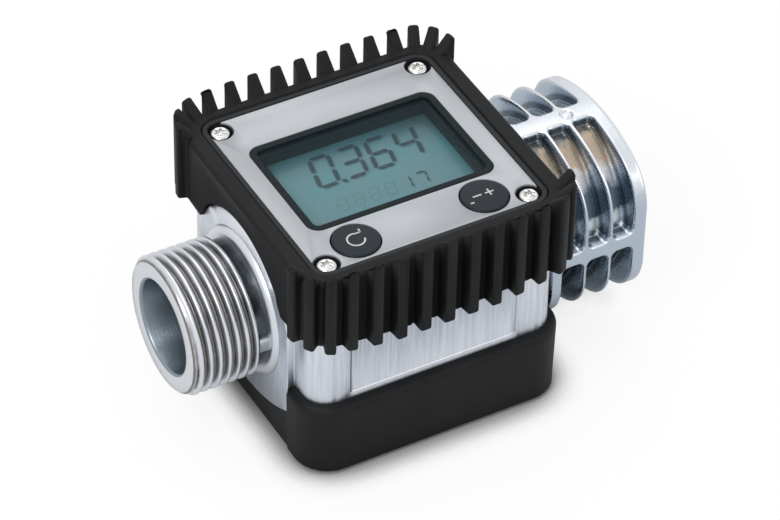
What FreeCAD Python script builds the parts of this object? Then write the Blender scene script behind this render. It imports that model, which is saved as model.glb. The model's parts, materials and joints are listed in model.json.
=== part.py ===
"""Turbine flow meter: male threaded inlet, ribbed female outlet, display head and rubber armour.

Frame, in millimetres: the origin is the centre of the foot's underside, +X is the flow
direction and +Z points up out of the display.  Bodies that belong to the flow tube are
drawn about their own X axis and lifted to the flow axis by their Placement.
"""
import FreeCAD, Part
import math
import os
import re

import Sketcher

DIMENSIONS = [
    # casting
    ("axis_height", 29.2, "flow axis above the foot's underside"),
    ("block_end_margin", 1.3, "casting block beyond the display housing, along the flow"),
    ("block_side_margin", 1.1, "casting block beyond the display housing, across the flow"),
    ("block_corner", 6.0, "vertical corner radius of the block"),
    ("deck_height", 14.0, "flat top of the block above the flow axis"),
    ("plate_gap", 0.3, "display housing to the end plates"),
    ("plate_width", 43.0, "end plate across the flow"),
    ("plate_radius", 22.4, "round top of the end plate about the flow axis"),
    ("plate_depth", 2.9, "thickness of the end plate above the deck"),
    ("label_length", 42.0, "shallow label panel on the front face"),
    ("label_height", 16.0, "height of the label panel"),
    ("label_depth", 0.25, "depth of the label panel"),
    # inlet
    ("thread_radius", 16.62, "major radius of the G1 pipe thread"),
    ("inlet_reach", 53.3, "flow centre to the inlet face"),
    ("inlet_chamfer", 1.0, "lead-in at the inlet face"),
    ("relief_radius", 15.1, "thread relief groove"),
    ("relief_width", 2.6, "width of the relief groove"),
    ("collar_radius", 17.9, "flare where the nipple meets the end plate"),
    ("collar_width", 1.2, "length of that flare"),
    ("web_height", 4.2, "parting web that bridges the relief groove"),
    # outlet
    ("outlet_reach", 59.2, "flow centre to the outlet face"),
    ("neck_radius", 21.0, "neck between the end plate and the ribbed outlet"),
    ("port_gap", 0.3, "ribbed outlet to the guard's end wall"),
    ("port_width", 46.8, "over the outlet's side flats"),
    ("port_height", 44.6, "over the outlet's top and bottom"),
    ("port_flat", 15.0, "height of a side flat"),
    ("port_crown_width", 32.0, "width of the shallow top and bottom arcs"),
    ("port_crown", 39.3, "radius of the top and bottom arcs"),
    ("port_corner", 12.47, "radius of the outlet's four corners"),
    ("port_edge", 1.2, "rounding of the outlet's outer edge"),
    ("pocket_start", 37.2, "first coring pocket from the flow centre"),
    ("pocket_width", 5.2, "coring pocket along the flow"),
    ("pocket_pitch", 6.55, "pitch of the coring pockets"),
    ("pocket_count", 3, "pockets in each row"),
    ("pocket_floor", 19.1, "radius of the pocket floors"),
    ("spine_width", 5.2, "top and bottom spines between the pockets"),
    ("side_web", 4.0, "side webs between the pockets"),
    ("socket_radius", 15.15, "minor radius of the G1 internal thread"),
    ("socket_depth", 17.5, "depth of the internal thread"),
    ("socket_lead", 1.3, "lead-in chamfer of the internal thread"),
    # flow tube
    ("bore_radius", 11.2, "flow bore"),
    ("chamber_radius", 10.5, "rotor chamber"),
    ("chamber_length", 17.0, "length of the rotor chamber"),
    ("cone_length", 2.4, "step from the flow bore to the internal thread"),
    ("clip_thickness", 1.1, "retaining ring thickness"),
    ("clip_depth", 0.7, "retaining groove depth"),
    ("clip_clearance", 0.1, "side clearance of a retaining ring in its groove"),
    ("clip_height", 2.0, "radial height of a retaining ring"),
    ("clip_gap", 5.0, "gap of a retaining ring"),
    ("support_length", 16.0, "length of a bearing support"),
    ("support_clearance", 0.05, "radial fit of a bearing support in the bore"),
    ("support_wall", 1.0, "outer sleeve of a bearing support"),
    ("vane_thickness", 1.1, "straightening vane"),
    ("vane_count", 6, "straightening vanes"),
    ("vane_inset", 0.8, "vanes stop short of the sleeve's ends"),
    ("hub_radius", 4.2, "hub of rotor and supports"),
    ("hub_step", 1.0, "hub of a support beyond its sleeve"),
    ("nose_length", 7.0, "pointed nose of a support"),
    ("shaft_radius", 1.0, "rotor shaft"),
    ("shaft_seat", 4.5, "depth of the shaft in each support"),
    ("running_fit", 0.06, "radial clearance of the rotor bushes on the shaft"),
    ("tip_clearance", 0.3, "rotor blade to chamber"),
    ("end_play", 0.25, "axial play on each side of the rotor"),
    ("washer_thickness", 1.2, "thrust washer"),
    ("washer_radius", 2.6, "thrust washer outside"),
    ("bush_radius", 2.2, "rotor bush outside"),
    ("bush_length", 2.0, "rotor bush length"),
    ("blade_count", 6, "rotor blades"),
    ("blade_thickness", 1.2, "rotor blade"),
    ("blade_length", 10.0, "rotor blade along the flow"),
    ("blade_twist", 50.0, "twist of a blade from end to end, degrees"),
    ("magnet_radius", 0.75, "rotor magnet"),
    ("magnet_length", 3.0, "rotor magnet"),
    ("magnet_circle", 3.25, "radius that the rotor magnets lie on"),
    # foot and battery bay
    ("foot_floor", 2.6, "rubber under the casting"),
    ("foot_wall", 2.7, "rubber side wall at the rim"),
    ("foot_end_wall", 2.2, "rubber end wall at the rim"),
    ("foot_height", 19.9, "rim above the foot's underside"),
    ("foot_flank", 0.35, "how far the foot's sides lean in up to the rim"),
    ("foot_round", 2.0, "rounding of the rim"),
    ("foot_sole", 1.2, "rounding of the sole"),
    ("relief_margin", 3.35, "relief of the foot's end walls to its rounded corners"),
    ("foot_relief", 0.7, "recessed centre of the foot's end walls"),
    ("arch_bottom", 6.1, "lowest point of the end wall's dip"),
    ("arch_radius", 41.0, "radius of the end wall's dip"),
    ("arch_clearance", 0.15, "end plate to the rubber"),
    ("cover_end_margin", 4.2, "battery cover to the casting's end faces"),
    ("cover_side_margin", 3.0, "battery cover to the casting's side faces"),
    ("cover_corner", 4.0, "battery cover corner radius"),
    ("cover_thickness", 2.2, "battery cover"),
    ("cover_clearance", 0.2, "battery cover to its recess"),
    ("seal_thickness", 0.8, "battery gasket"),
    ("seal_width", 2.2, "battery gasket"),
    ("battery_radius", 5.25, "AAA cell"),
    ("battery_length", 44.5, "AAA cell"),
    ("battery_inset", 8.2, "cell axis to the battery cover's edge"),
    ("battery_clearance", 0.3, "cell to its bay"),
    ("button_tip", 0.9, "raised positive end of a cell"),
    ("contact_thickness", 0.5, "contact plate"),
    ("contact_width", 8.0, "contact plate"),
    ("fastener_radius", 1.5, "shank of every screw"),
    ("fastener_fit", 0.05, "radial gap round a screw shank"),
    ("cover_screw_x", 20.0, "battery cover screws along the flow"),
    ("cover_screw_y", 9.5, "battery cover screws across the flow"),
    ("cover_screw_length", 8.0, "battery cover screw under its head"),
    ("cover_head_radius", 2.6, "battery cover screw head"),
    ("cover_head_height", 1.4, "battery cover screw head"),
    # display head
    ("gasket_thickness", 0.8, "gasket under the display housing"),
    ("gasket_width", 3.2, "gasket under the display housing"),
    ("housing_side", 59.8, "square display housing"),
    ("housing_corner", 4.6, "corner radius of the housing"),
    ("housing_height", 13.0, "housing above its gasket"),
    ("housing_wall", 1.8, "housing side wall"),
    ("housing_deck", 1.9, "housing top wall under the face panel"),
    ("housing_edge", 0.4, "bevel on the housing's top edge"),
    ("bezel_width", 1.5, "housing edge that frames the face panel"),
    ("panel_recess", 0.9, "seat of the face panel below the housing's edge"),
    ("panel_thickness", 0.6, "face panel"),
    ("panel_clearance", 0.1, "face panel to the housing's edge"),
    ("panel_corner", 3.0, "corner radius of the face panel"),
    ("notch_radius", 3.2, "panel corner notch round a screw"),
    ("screw_inset", 4.4, "display screws to the housing's sides"),
    ("boss_radius", 3.7, "screw boss inside the housing"),
    ("head_radius", 2.35, "display screw head"),
    ("head_height", 1.8, "display screw head"),
    ("head_clearance", 0.55, "display screw head to its pocket"),
    ("head_sink", 0.1, "head below the face panel"),
    ("screw_grip", 8.0, "display screw in the casting"),
    ("window_side_margin", 4.7, "window frame to the panel's edge, left and right"),
    ("window_top_margin", 11.3, "window frame to the panel's far edge"),
    ("window_corner", 3.2, "window frame corner radius"),
    ("frame_width", 1.9, "window frame"),
    ("frame_step", 0.7, "inner step of the frame"),
    ("frame_depth", 4.6, "window frame from the panel down"),
    ("lens_thickness", 1.0, "clear lens"),
    ("lens_sink", 0.5, "lens below the frame"),
    ("display_thickness", 1.8, "liquid crystal cell"),
    ("strip_height", 0.9, "contact strip under the cell"),
    ("strip_width", 1.6, "contact strip under the cell"),
    ("board_thickness", 1.6, "circuit board"),
    ("board_clearance", 0.2, "circuit board to the housing"),
    ("button_side_inset", 12.2, "button from the panel's side edge"),
    ("button_inset", 6.7, "button to the panel's near edge"),
    ("button_gap", 0.6, "button hole to the window frame"),
    ("button_radius", 5.5, "button cap"),
    ("button_clearance", 0.3, "button to its hole"),
    ("button_proud", 0.3, "button above the face panel"),
    ("button_flange", 0.35, "flange that keeps a button in"),
    ("flange_height", 0.6, "thickness of that flange"),
    ("button_travel", 0.5, "button stroke"),
    ("switch_side", 5.0, "tactile switch"),
    ("switch_gap", 0.05, "switch to the button at full stroke"),
    ("sensor_radius", 3.7, "pick-up sensor"),
    ("sensor_wall", 1.6, "casting between the sensor and the chamber"),
    ("sensor_clearance", 0.15, "sensor in its hole"),
    # rubber guard
    ("guard_end_wall", 3.8, "guard wall at the ends"),
    ("guard_side_wall", 2.6, "guard wall under the fins"),
    ("guard_clearance", 0.1, "guard to the housing"),
    ("guard_corner", 7.0, "outer corner radius of the guard"),
    ("guard_proud", 0.4, "guard rim above the housing's edge"),
    ("guard_drop", 5.0, "guard below the casting's deck"),
    ("arch_gap", 0.4, "guard's arch round the end plate"),
    ("fin_pitch", 6.0, "fins along the long sides"),
    ("fin_count", 9, "fins on each long side"),
    ("fin_thickness", 2.6, "fin"),
    ("fin_height", 3.9, "fin tip beyond the guard's wall"),
    ("fin_rise", 3.6, "fin tip above the guard's rim"),
    ("fin_root", 1.2, "how deep a fin starts in the guard's wall"),
    ("fin_tip", 1.1, "rounding of a fin's tip"),
    ("fin_bow", 320.0, "radius of the bowed line of fin tips"),
    ("skirt_bow", 210.0, "radius of the bowed lower edge"),
    ("corner_inset", 3.9, "centre of the corner fans inside the housing's sides"),
    ("corner_reach", 9.9, "corner fin tip from that centre"),
    ("corner_start", 9.0, "angle of the first corner fin, degrees"),
    ("corner_sweep", 60.0, "angle from the first corner fin to the last, degrees"),
    ("corner_fins", 3, "fins at each corner"),
]

doc = FreeCAD.newDocument("FlowMeter")
sheet = doc.addObject("Spreadsheet::Sheet", "Sizes")
for line, (alias, number, meaning) in enumerate(DIMENSIONS, start=1):
    sheet.set(f"A{line}", alias)
    sheet.set(f"B{line}", str(number))
    sheet.setAlias(f"B{line}", alias)
    sheet.set(f"C{line}", meaning)
doc.recompute()

# heights above the foot's underside, as expressions on the sheet
DECK = "(axis_height + deck_height)"
HOUSING_BASE = f"({DECK} + gasket_thickness)"
HOUSING_TOP = f"({HOUSING_BASE} + housing_height)"
PANEL_SEAT = f"({HOUSING_TOP} - panel_recess)"
PANEL_TOP = f"({PANEL_SEAT} + panel_thickness)"
DECK_UNDERSIDE = f"({PANEL_SEAT} - housing_deck)"
FRAME_BOTTOM = f"({PANEL_TOP} - frame_depth)"
DISPLAY_BOTTOM = f"({FRAME_BOTTOM} - display_thickness)"
BOARD_TOP = f"({DISPLAY_BOTTOM} - strip_height)"
GUARD_TOP = f"({HOUSING_TOP} + guard_proud)"
HEAD_SEAT = f"({PANEL_TOP} - head_sink - head_height)"
COVER_SEAT = "(foot_floor + cover_thickness)"
BAY_FLOOR = f"({COVER_SEAT} + seal_thickness)"

# half sizes and fits that several bodies share
HALF_HOUSING = "(housing_side / 2)"
HALF_CAVITY = f"({HALF_HOUSING} - housing_wall)"
HALF_PANEL = f"({HALF_HOUSING} - bezel_width)"
HALF_SCREWS = f"({HALF_HOUSING} - screw_inset)"
BLOCK_X = f"({HALF_HOUSING} + block_end_margin)"
BLOCK_Y = f"({HALF_HOUSING} + block_side_margin)"
PLATE_INNER = f"({HALF_HOUSING} + plate_gap)"
PLATE_FACE = f"({PLATE_INNER} + plate_depth)"
COVER_X = f"({BLOCK_X} - cover_end_margin)"
COVER_Y = f"({BLOCK_Y} - cover_side_margin)"
BATTERY_Y = f"({COVER_Y} - battery_inset)"
BUTTON_X = f"({HALF_PANEL} - button_side_inset)"
BUTTON_Y = f"({HALF_PANEL} - button_inset)"
BUTTON_HOLE = "(button_radius + button_clearance)"
WINDOW_TOP = f"({HALF_PANEL} - window_top_margin)"
WINDOW_FOOT = f"({BUTTON_Y} - {BUTTON_HOLE} - button_gap)"
WINDOW_X = f"({HALF_PANEL} - window_side_margin)"
WINDOW_Y = f"(({WINDOW_TOP} + {WINDOW_FOOT}) / 2)"
WINDOW_MIDDLE = f"(({WINDOW_TOP} - {WINDOW_FOOT}) / 2)"
GUARD_X = f"({HALF_HOUSING} + guard_clearance + guard_end_wall)"
GUARD_Y = f"({HALF_HOUSING} + guard_clearance + guard_side_wall)"
FIN_REACH = f"({GUARD_Y} + fin_height)"
CORNER_CENTRE = f"({HALF_HOUSING} - corner_inset)"
SHANK_HOLE = "(fastener_radius + fastener_fit)"
CLIP_SEAT = "(chamber_length / 2 + support_length)"
BAY_HALF_LENGTH = "(battery_length / 2 + contact_thickness)"
BAY_HALF_WIDTH = "(battery_radius + battery_clearance)"
BATTERY_HEIGHT = f"({COVER_SEAT} + battery_clearance + battery_radius)"
HUB_FACE = "(chamber_length / 2 - hub_step)"
ROTOR_HALF = f"({HUB_FACE} - washer_thickness - end_play)"
CORNERS = [(i, j) for i in (-1, 1) for j in (-1, 1)]


def bound(expression):
    """Point every alias of an expression at the sheet."""
    return re.sub(r"\b[a-z]+(?:_[a-z]+)+\b", lambda word: f"Sizes.{word.group()}", expression)


def value(expression):
    """Work out an expression on the sheet now."""
    return float(sheet.evalExpression(bound(expression)))


def body(label, height=None):
    """Start a body, lifted to a height above the foot's underside."""
    made = doc.addObject("PartDesign::Body", label)
    made.Label = label
    made.AllowCompound = True
    if height:
        made.setExpression("Placement.Base.z", bound(height))
    return made


def origin(owner, role):
    """Give one of a body's own origin planes or axes."""
    return next(feature for feature in owner.Origin.OriginFeatures if feature.Role == role)


def sketch(owner, role, offset=None):
    """Start a sketch on a body's origin plane, moved along the plane's normal."""
    drawn = owner.newObject("Sketcher::SketchObject", f"{owner.Label}_sketch")
    drawn.AttachmentSupport = [(origin(owner, role), "")]
    drawn.MapMode = "FlatFace"
    if offset:
        drawn.setExpression("AttachmentOffset.Base.z", bound(offset))
    return drawn


def constrain(drawn, constraint, expression):
    """Add a dimension to a sketch and bind it to the sheet."""
    index = drawn.addConstraint(constraint)
    drawn.setExpression(f"Constraints[{index}]", bound(expression))


def place_point(drawn, shape, point, x, y):
    """Fix a point of a sketch by its two coordinates."""
    constrain(drawn, Sketcher.Constraint("DistanceX", -1, 1, shape, point, value(x)), x)
    constrain(drawn, Sketcher.Constraint("DistanceY", -1, 1, shape, point, value(y)), y)


def circle(drawn, x, y, radius):
    """Draw a circle."""
    centre = FreeCAD.Vector(value(x), value(y), 0)
    shape = drawn.addGeometry(Part.Circle(centre, FreeCAD.Vector(0, 0, 1), value(radius)), False)
    place_point(drawn, shape, 3, x, y)
    constrain(drawn, Sketcher.Constraint("Radius", shape, value(radius)), radius)


def arc_between(start, end, radius):
    """Give the shorter arc between two points; a negative radius turns it clockwise."""
    chord = end - start
    side = FreeCAD.Vector(-chord.y, chord.x, 0).normalize()
    rise = math.sqrt(max(radius * radius - chord.Length ** 2 / 4, 0))
    centre = (start + end) * 0.5 + side * math.copysign(rise, radius)
    first, last = (start, end) if radius > 0 else (end, start)
    angles = [math.atan2(point.y - centre.y, point.x - centre.x) for point in (first, last)]
    return Part.ArcOfCircle(Part.Circle(centre, FreeCAD.Vector(0, 0, 1), abs(radius)), *angles)


def outline(drawn, corners):
    """Draw a closed outline; a corner's third entry bends its next side to that radius."""
    points = [FreeCAD.Vector(value(corner[0]), value(corner[1]), 0) for corner in corners]
    ends = []
    for index, corner in enumerate(corners):
        start = points[index]
        end = points[(index + 1) % len(points)]
        if len(corner) == 2:
            shape = drawn.addGeometry(Part.LineSegment(start, end), False)
            ends.append((shape, 1, 2))
            continue
        radius = value(corner[2])
        shape = drawn.addGeometry(arc_between(start, end, radius), False)
        ends.append((shape, 1, 2) if radius > 0 else (shape, 2, 1))
        constrain(drawn, Sketcher.Constraint("Radius", shape, abs(radius)), f"abs({corner[2]})")
    for index, corner in enumerate(corners):
        shape, first, last = ends[index]
        following, following_first, _ = ends[(index + 1) % len(ends)]
        place_point(drawn, shape, first, corner[0], corner[1])
        drawn.addConstraint(Sketcher.Constraint("Coincident", shape, last, following, following_first))


def rectangle(drawn, half_x, half_y, x="0", y="0"):
    """Draw a rectangle about a centre."""
    signs = ((-1, -1), (1, -1), (1, 1), (-1, 1))
    outline(drawn, [(f"{x} + {i} * ({half_x})", f"{y} + {j} * ({half_y})") for i, j in signs])


def rounded_rectangle(drawn, half_x, half_y, corner, x="0", y="0"):
    """Draw a rectangle with rounded corners about a centre."""
    inner_x = f"(({half_x}) - ({corner}))"
    inner_y = f"(({half_y}) - ({corner}))"
    outline(drawn, [
        (f"{x} - {inner_x}", f"{y} - ({half_y})"),
        (f"{x} + {inner_x}", f"{y} - ({half_y})", corner),
        (f"{x} + ({half_x})", f"{y} - {inner_y}"),
        (f"{x} + ({half_x})", f"{y} + {inner_y}", corner),
        (f"{x} + {inner_x}", f"{y} + ({half_y})"),
        (f"{x} - {inner_x}", f"{y} + ({half_y})", corner),
        (f"{x} - ({half_x})", f"{y} + {inner_y}"),
        (f"{x} - ({half_x})", f"{y} - {inner_y}", corner),
    ])


def finished(owner, feature, removes):
    """Recompute a new feature and see that it added or removed material."""
    doc.recompute()
    before = feature.BaseFeature.Shape.Volume if feature.BaseFeature else 0.0
    change = feature.Shape.Volume - before
    if (change < 0) != removes or abs(change) < 1e-6:
        raise RuntimeError(f"{owner.Label}: {feature.Name} changes the volume by {change:.4f}")
    owner.Tip = feature
    return feature


def extrude(owner, kind, drawn, length, symmetric=False, backwards=False):
    """Pad or pocket a sketch; with no length a pocket goes through everything."""
    feature = owner.newObject(f"PartDesign::{kind}", f"{owner.Label}_{kind.lower()}")
    feature.Profile = drawn
    feature.SideType = "Symmetric" if symmetric else "One side"
    feature.Reversed = backwards
    if length:
        feature.setExpression("Length", bound(length))
    else:
        feature.Type = "ThroughAll"
    return finished(owner, feature, kind == "Pocket")


def pad(owner, drawn, length, symmetric=False, backwards=False):
    """Add a sketch's area times a length."""
    return extrude(owner, "Pad", drawn, length, symmetric, backwards)


def pocket(owner, drawn, length=None, symmetric=False, backwards=False):
    """Cut a sketch's area to a depth, or through everything."""
    return extrude(owner, "Pocket", drawn, length, symmetric, backwards)


def revolve(owner, kind, drawn):
    """Turn a sketch all the way round the body's X axis."""
    feature = owner.newObject(f"PartDesign::{kind}", f"{owner.Label}_{kind.lower()}")
    feature.Profile = drawn
    feature.ReferenceAxis = (drawn, ["H_Axis"])
    feature.Angle = 360
    return finished(owner, feature, kind == "Groove")


def repeat_round(owner, features, count, removes=False):
    """Repeat features evenly round the body's X axis."""
    pattern = owner.newObject("PartDesign::PolarPattern", f"{owner.Label}_ring")
    pattern.Originals = features
    pattern.Axis = (origin(owner, "X_Axis"), [""])
    pattern.Angle = 360
    pattern.setExpression("Occurrences", bound(count))
    owner.Tip = pattern
    return finished(owner, pattern, removes)


def repeat_along(owner, features, pitch, count, removes=False):
    """Repeat features along the body's X axis."""
    pattern = owner.newObject("PartDesign::LinearPattern", f"{owner.Label}_row")
    pattern.Originals = features
    pattern.Direction = (origin(owner, "X_Axis"), [""])
    pattern.setExpression("Length", bound(f"({pitch}) * ({count} - 1)"))
    pattern.setExpression("Occurrences", bound(count))
    owner.Tip = pattern
    return finished(owner, pattern, removes)


def round_edges(owner, size, chosen, kind="Fillet"):
    """Fillet or chamfer the edges of the newest feature that a test chooses."""
    tip = owner.Tip
    names = [f"Edge{i}" for i, edge in enumerate(tip.Shape.Edges, start=1) if chosen(edge)]
    feature = owner.newObject(f"PartDesign::{kind}", f"{owner.Label}_{kind.lower()}")
    feature.Base = (tip, names)
    feature.setExpression("Radius" if kind == "Fillet" else "Size", bound(size))
    doc.recompute()
    owner.Tip = feature
    return feature


def lies_at(axis, position):
    """Make a test for edges that lie flat at a coordinate."""
    low = f"{axis}Min"
    high = f"{axis}Max"

    def test(edge):
        box = edge.BoundBox
        return abs(getattr(box, low) - position) < 1e-4 and abs(getattr(box, high) - position) < 1e-4
    return test


# ---------------------------------------------------------------- casting

def body_casting():
    """Die-cast block with its end plates, threaded ends, stepped bore and battery bays."""
    made = body("body_casting", "axis_height")
    underside = "(foot_floor - axis_height)"

    block = sketch(made, "XY_Plane", underside)
    rounded_rectangle(block, BLOCK_X, BLOCK_Y, "block_corner")
    pad(made, block, f"deck_height - {underside}")

    # the end plates follow the foot's dip below and stand clear of the display housing above
    plate = sketch(made, "YZ_Plane", f"-{PLATE_FACE}")
    half = "(plate_width / 2)"
    crown = f"sqrt(plate_radius ^ 2 - {half} ^ 2)"
    dip = "(arch_radius - arch_clearance)"
    dip_centre = "(arch_bottom + arch_radius - axis_height)"
    dip_end = f"({dip_centre} - sqrt({dip} ^ 2 - {half} ^ 2))"
    outline(plate, [
        (f"-{half}", dip_end, dip),
        (half, dip_end),
        (half, crown, "plate_radius"),
        (f"-{half}", crown),
    ])
    pad(made, plate, f"2 * {PLATE_FACE}")
    clearance = sketch(made, "XY_Plane", "deck_height")
    rectangle(clearance, PLATE_INNER, "plate_width")
    pocket(made, clearance, "plate_radius", backwards=True)

    nipple = sketch(made, "XZ_Plane")
    face = f"-{PLATE_FACE}"
    relief = f"({face} - collar_width)"
    outline(nipple, [
        (f"{face} + plate_depth", "0"),
        (f"{face} + plate_depth", "collar_radius"),
        (face, "collar_radius"),
        (relief, "(relief_radius + collar_radius) / 2"),
        (relief, "relief_radius"),
        (f"{relief} - relief_width", "relief_radius"),
        (f"{relief} - relief_width", "thread_radius"),
        ("inlet_chamfer - inlet_reach", "thread_radius"),
        ("-inlet_reach", "thread_radius - inlet_chamfer"),
        ("-inlet_reach", "0"),
    ])
    revolve(made, "Revolution", nipple)
    web = sketch(made, "XY_Plane")
    outline(web, [
        (f"{relief} - relief_width", "-relief_radius - collar_width"),
        (relief, "-relief_radius - collar_width"),
        (relief, "relief_radius + collar_width"),
        (f"{relief} - relief_width", "relief_radius + collar_width"),
    ])
    pad(made, web, "web_height", symmetric=True)

    neck = sketch(made, "YZ_Plane", PLATE_INNER)
    circle(neck, "0", "0", "neck_radius")
    pad(made, neck, f"outlet_reach - {PLATE_INNER} - port_edge")
    port_start = f"({GUARD_X} + port_gap)"
    port = sketch(made, "YZ_Plane", port_start)
    flat = "(port_width / 2)"
    flat_end = "(port_flat / 2)"
    crown_end = "(port_crown_width / 2)"
    shoulder = f"(port_height / 2 - port_crown + sqrt(port_crown ^ 2 - {crown_end} ^ 2))"
    outline(port, [
        (f"-{flat}", f"-{flat_end}", "port_corner"),
        (f"-{crown_end}", f"-{shoulder}", "port_crown"),
        (crown_end, f"-{shoulder}", "port_corner"),
        (flat, f"-{flat_end}"),
        (flat, flat_end, "port_corner"),
        (crown_end, shoulder, "port_crown"),
        (f"-{crown_end}", shoulder, "port_corner"),
        (f"-{flat}", flat_end),
    ])
    pad(made, port, f"outlet_reach - {port_start}")
    round_edges(made, "port_edge", lies_at("X", value("outlet_reach")))

    cored = sketch(made, "YZ_Plane", "pocket_start")
    web_side = "(side_web / 2)"
    spine_side = "(spine_width / 2)"
    beyond = "(port_width / 2 + 2)"
    on_floor_y = f"sqrt(pocket_floor ^ 2 - {web_side} ^ 2)"
    on_floor_z = f"sqrt(pocket_floor ^ 2 - {spine_side} ^ 2)"
    for i, j in CORNERS:
        outline(cored, [
            (f"{i} * {on_floor_y}", f"{j} * {web_side}"),
            (f"{i} * {beyond}", f"{j} * {web_side}"),
            (f"{i} * {beyond}", f"{j} * {beyond}"),
            (f"{i} * {spine_side}", f"{j} * {beyond}"),
            (f"{i} * {spine_side}", f"{j} * {on_floor_z}", f"{-i * j} * pocket_floor"),
        ])
    pockets = pocket(made, cored, "pocket_width", backwards=True)
    repeat_along(made, [pockets], "pocket_pitch", "pocket_count", removes=True)

    bore = sketch(made, "XZ_Plane")
    socket = "(outlet_reach - socket_depth)"
    shoulder = "(chamber_length / 2)"
    groove = f"({CLIP_SEAT})"
    groove_end = f"({CLIP_SEAT} + clip_thickness + clip_clearance)"
    groove_radius = "bore_radius + clip_depth"
    outline(bore, [
        ("-inlet_reach - 1", "0"),
        ("outlet_reach + 1", "0"),
        ("outlet_reach + 1", "socket_radius + socket_lead + 1"),
        (f"outlet_reach", "socket_radius + socket_lead"),
        ("outlet_reach - socket_lead", "socket_radius"),
        (socket, "socket_radius"),
        (f"{socket} - cone_length", "bore_radius"),
        (groove_end, "bore_radius"),
        (groove_end, groove_radius),
        (groove, groove_radius),
        (groove, "bore_radius"),
        (shoulder, "bore_radius"),
        (shoulder, "chamber_radius"),
        (f"-{shoulder}", "chamber_radius"),
        (f"-{shoulder}", "bore_radius"),
        (f"-{groove}", "bore_radius"),
        (f"-{groove}", groove_radius),
        (f"-{groove_end}", groove_radius),
        (f"-{groove_end}", "bore_radius"),
        ("-inlet_reach - 1", "bore_radius"),
    ])
    revolve(made, "Groove", bore)

    recess = sketch(made, "XY_Plane", underside)
    rounded_rectangle(recess, f"{COVER_X} + cover_clearance", f"{COVER_Y} + cover_clearance",
                      "cover_corner")
    pocket(made, recess, "cover_thickness + seal_thickness", backwards=True)
    bays = sketch(made, "XY_Plane", f"{BAY_FLOOR} - axis_height")
    for side in (-1, 1):
        rectangle(bays, BAY_HALF_LENGTH, BAY_HALF_WIDTH, y=f"{side} * {BATTERY_Y}")
    pocket(made, bays, f"{BATTERY_HEIGHT} + {BAY_HALF_WIDTH} - {BAY_FLOOR}", backwards=True)
    lower_holes = sketch(made, "XY_Plane", f"{BAY_FLOOR} - axis_height")
    for i, j in CORNERS:
        circle(lower_holes, f"{i} * cover_screw_x", f"{j} * cover_screw_y", SHANK_HOLE)
    pocket(made, lower_holes, "cover_screw_length", backwards=True)

    upper_holes = sketch(made, "XY_Plane", "deck_height")
    for i, j in CORNERS:
        circle(upper_holes, f"{i} * {HALF_SCREWS}", f"{j} * {HALF_SCREWS}", SHANK_HOLE)
    pocket(made, upper_holes, "screw_grip + 1")
    sensor_hole = sketch(made, "XY_Plane", "deck_height")
    circle(sensor_hole, "0", "0", "sensor_radius + sensor_clearance")
    pocket(made, sensor_hole, "deck_height - chamber_radius - sensor_wall")

    label = sketch(made, "XZ_Plane", BLOCK_Y)
    rounded_rectangle(label, "label_length / 2", "label_height / 2", "1", x="-1")
    pocket(made, label, "label_depth")
    return made


# ---------------------------------------------------------------- flow tube

def bearing_support(label, turned):
    """Sleeve with straightening vanes and a pointed hub that holds one end of the shaft."""
    made = body(label, "axis_height")
    if turned:
        made.Placement = FreeCAD.Placement(FreeCAD.Vector(), FreeCAD.Rotation(FreeCAD.Vector(0, 0, 1), 180))
        made.setExpression("Placement.Base.z", bound("axis_height"))
    front = f"(-{CLIP_SEAT})"
    back = "(-chamber_length / 2)"
    outer = "(bore_radius - support_clearance)"

    sleeve = sketch(made, "XY_Plane")
    outline(sleeve, [
        (front, f"{outer} - support_wall"),
        (back, f"{outer} - support_wall"),
        (back, outer),
        (front, outer),
    ])
    revolve(made, "Revolution", sleeve)
    vane = sketch(made, "XZ_Plane")
    middle = "(hub_radius / 2)"
    outline(vane, [
        (f"{front} + nose_length / 2", middle),
        (f"{back} - vane_inset", middle),
        (f"{back} - vane_inset", f"{outer} - support_wall / 2"),
        (f"{front} + vane_inset", f"{outer} - support_wall / 2"),
    ])
    blade = pad(made, vane, "vane_thickness", symmetric=True)
    repeat_round(made, [blade], "vane_count")
    hub = sketch(made, "XY_Plane")
    outline(hub, [
        (front, "0"),
        (f"-{HUB_FACE}", "0"),
        (f"-{HUB_FACE}", "hub_radius"),
        (f"{front} + nose_length", "hub_radius"),
        (f"{front} + nose_length / 3", "hub_radius * 2 / 3"),
        (front, "hub_radius / 4"),
    ])
    revolve(made, "Revolution", hub)
    seat = sketch(made, "YZ_Plane", f"-{HUB_FACE}")
    circle(seat, "0", "0", "shaft_radius")
    pocket(made, seat, "shaft_seat")
    return made


def retaining_ring(label, side):
    """Open spring ring in its groove behind a bearing support."""
    made = body(label, "axis_height")
    start = CLIP_SEAT if side > 0 else f"-{CLIP_SEAT} - clip_thickness"
    ring = sketch(made, "YZ_Plane", start)
    outer = "bore_radius + clip_depth - clip_clearance"
    circle(ring, "0", "0", outer)
    circle(ring, "0", "0", f"{outer} - clip_height")
    pad(made, ring, "clip_thickness")
    gap = sketch(made, "YZ_Plane", start)
    rectangle(gap, "clip_gap / 2", "clip_height", y="-bore_radius")
    pocket(made, gap, "clip_thickness", backwards=True)
    return made


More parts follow.
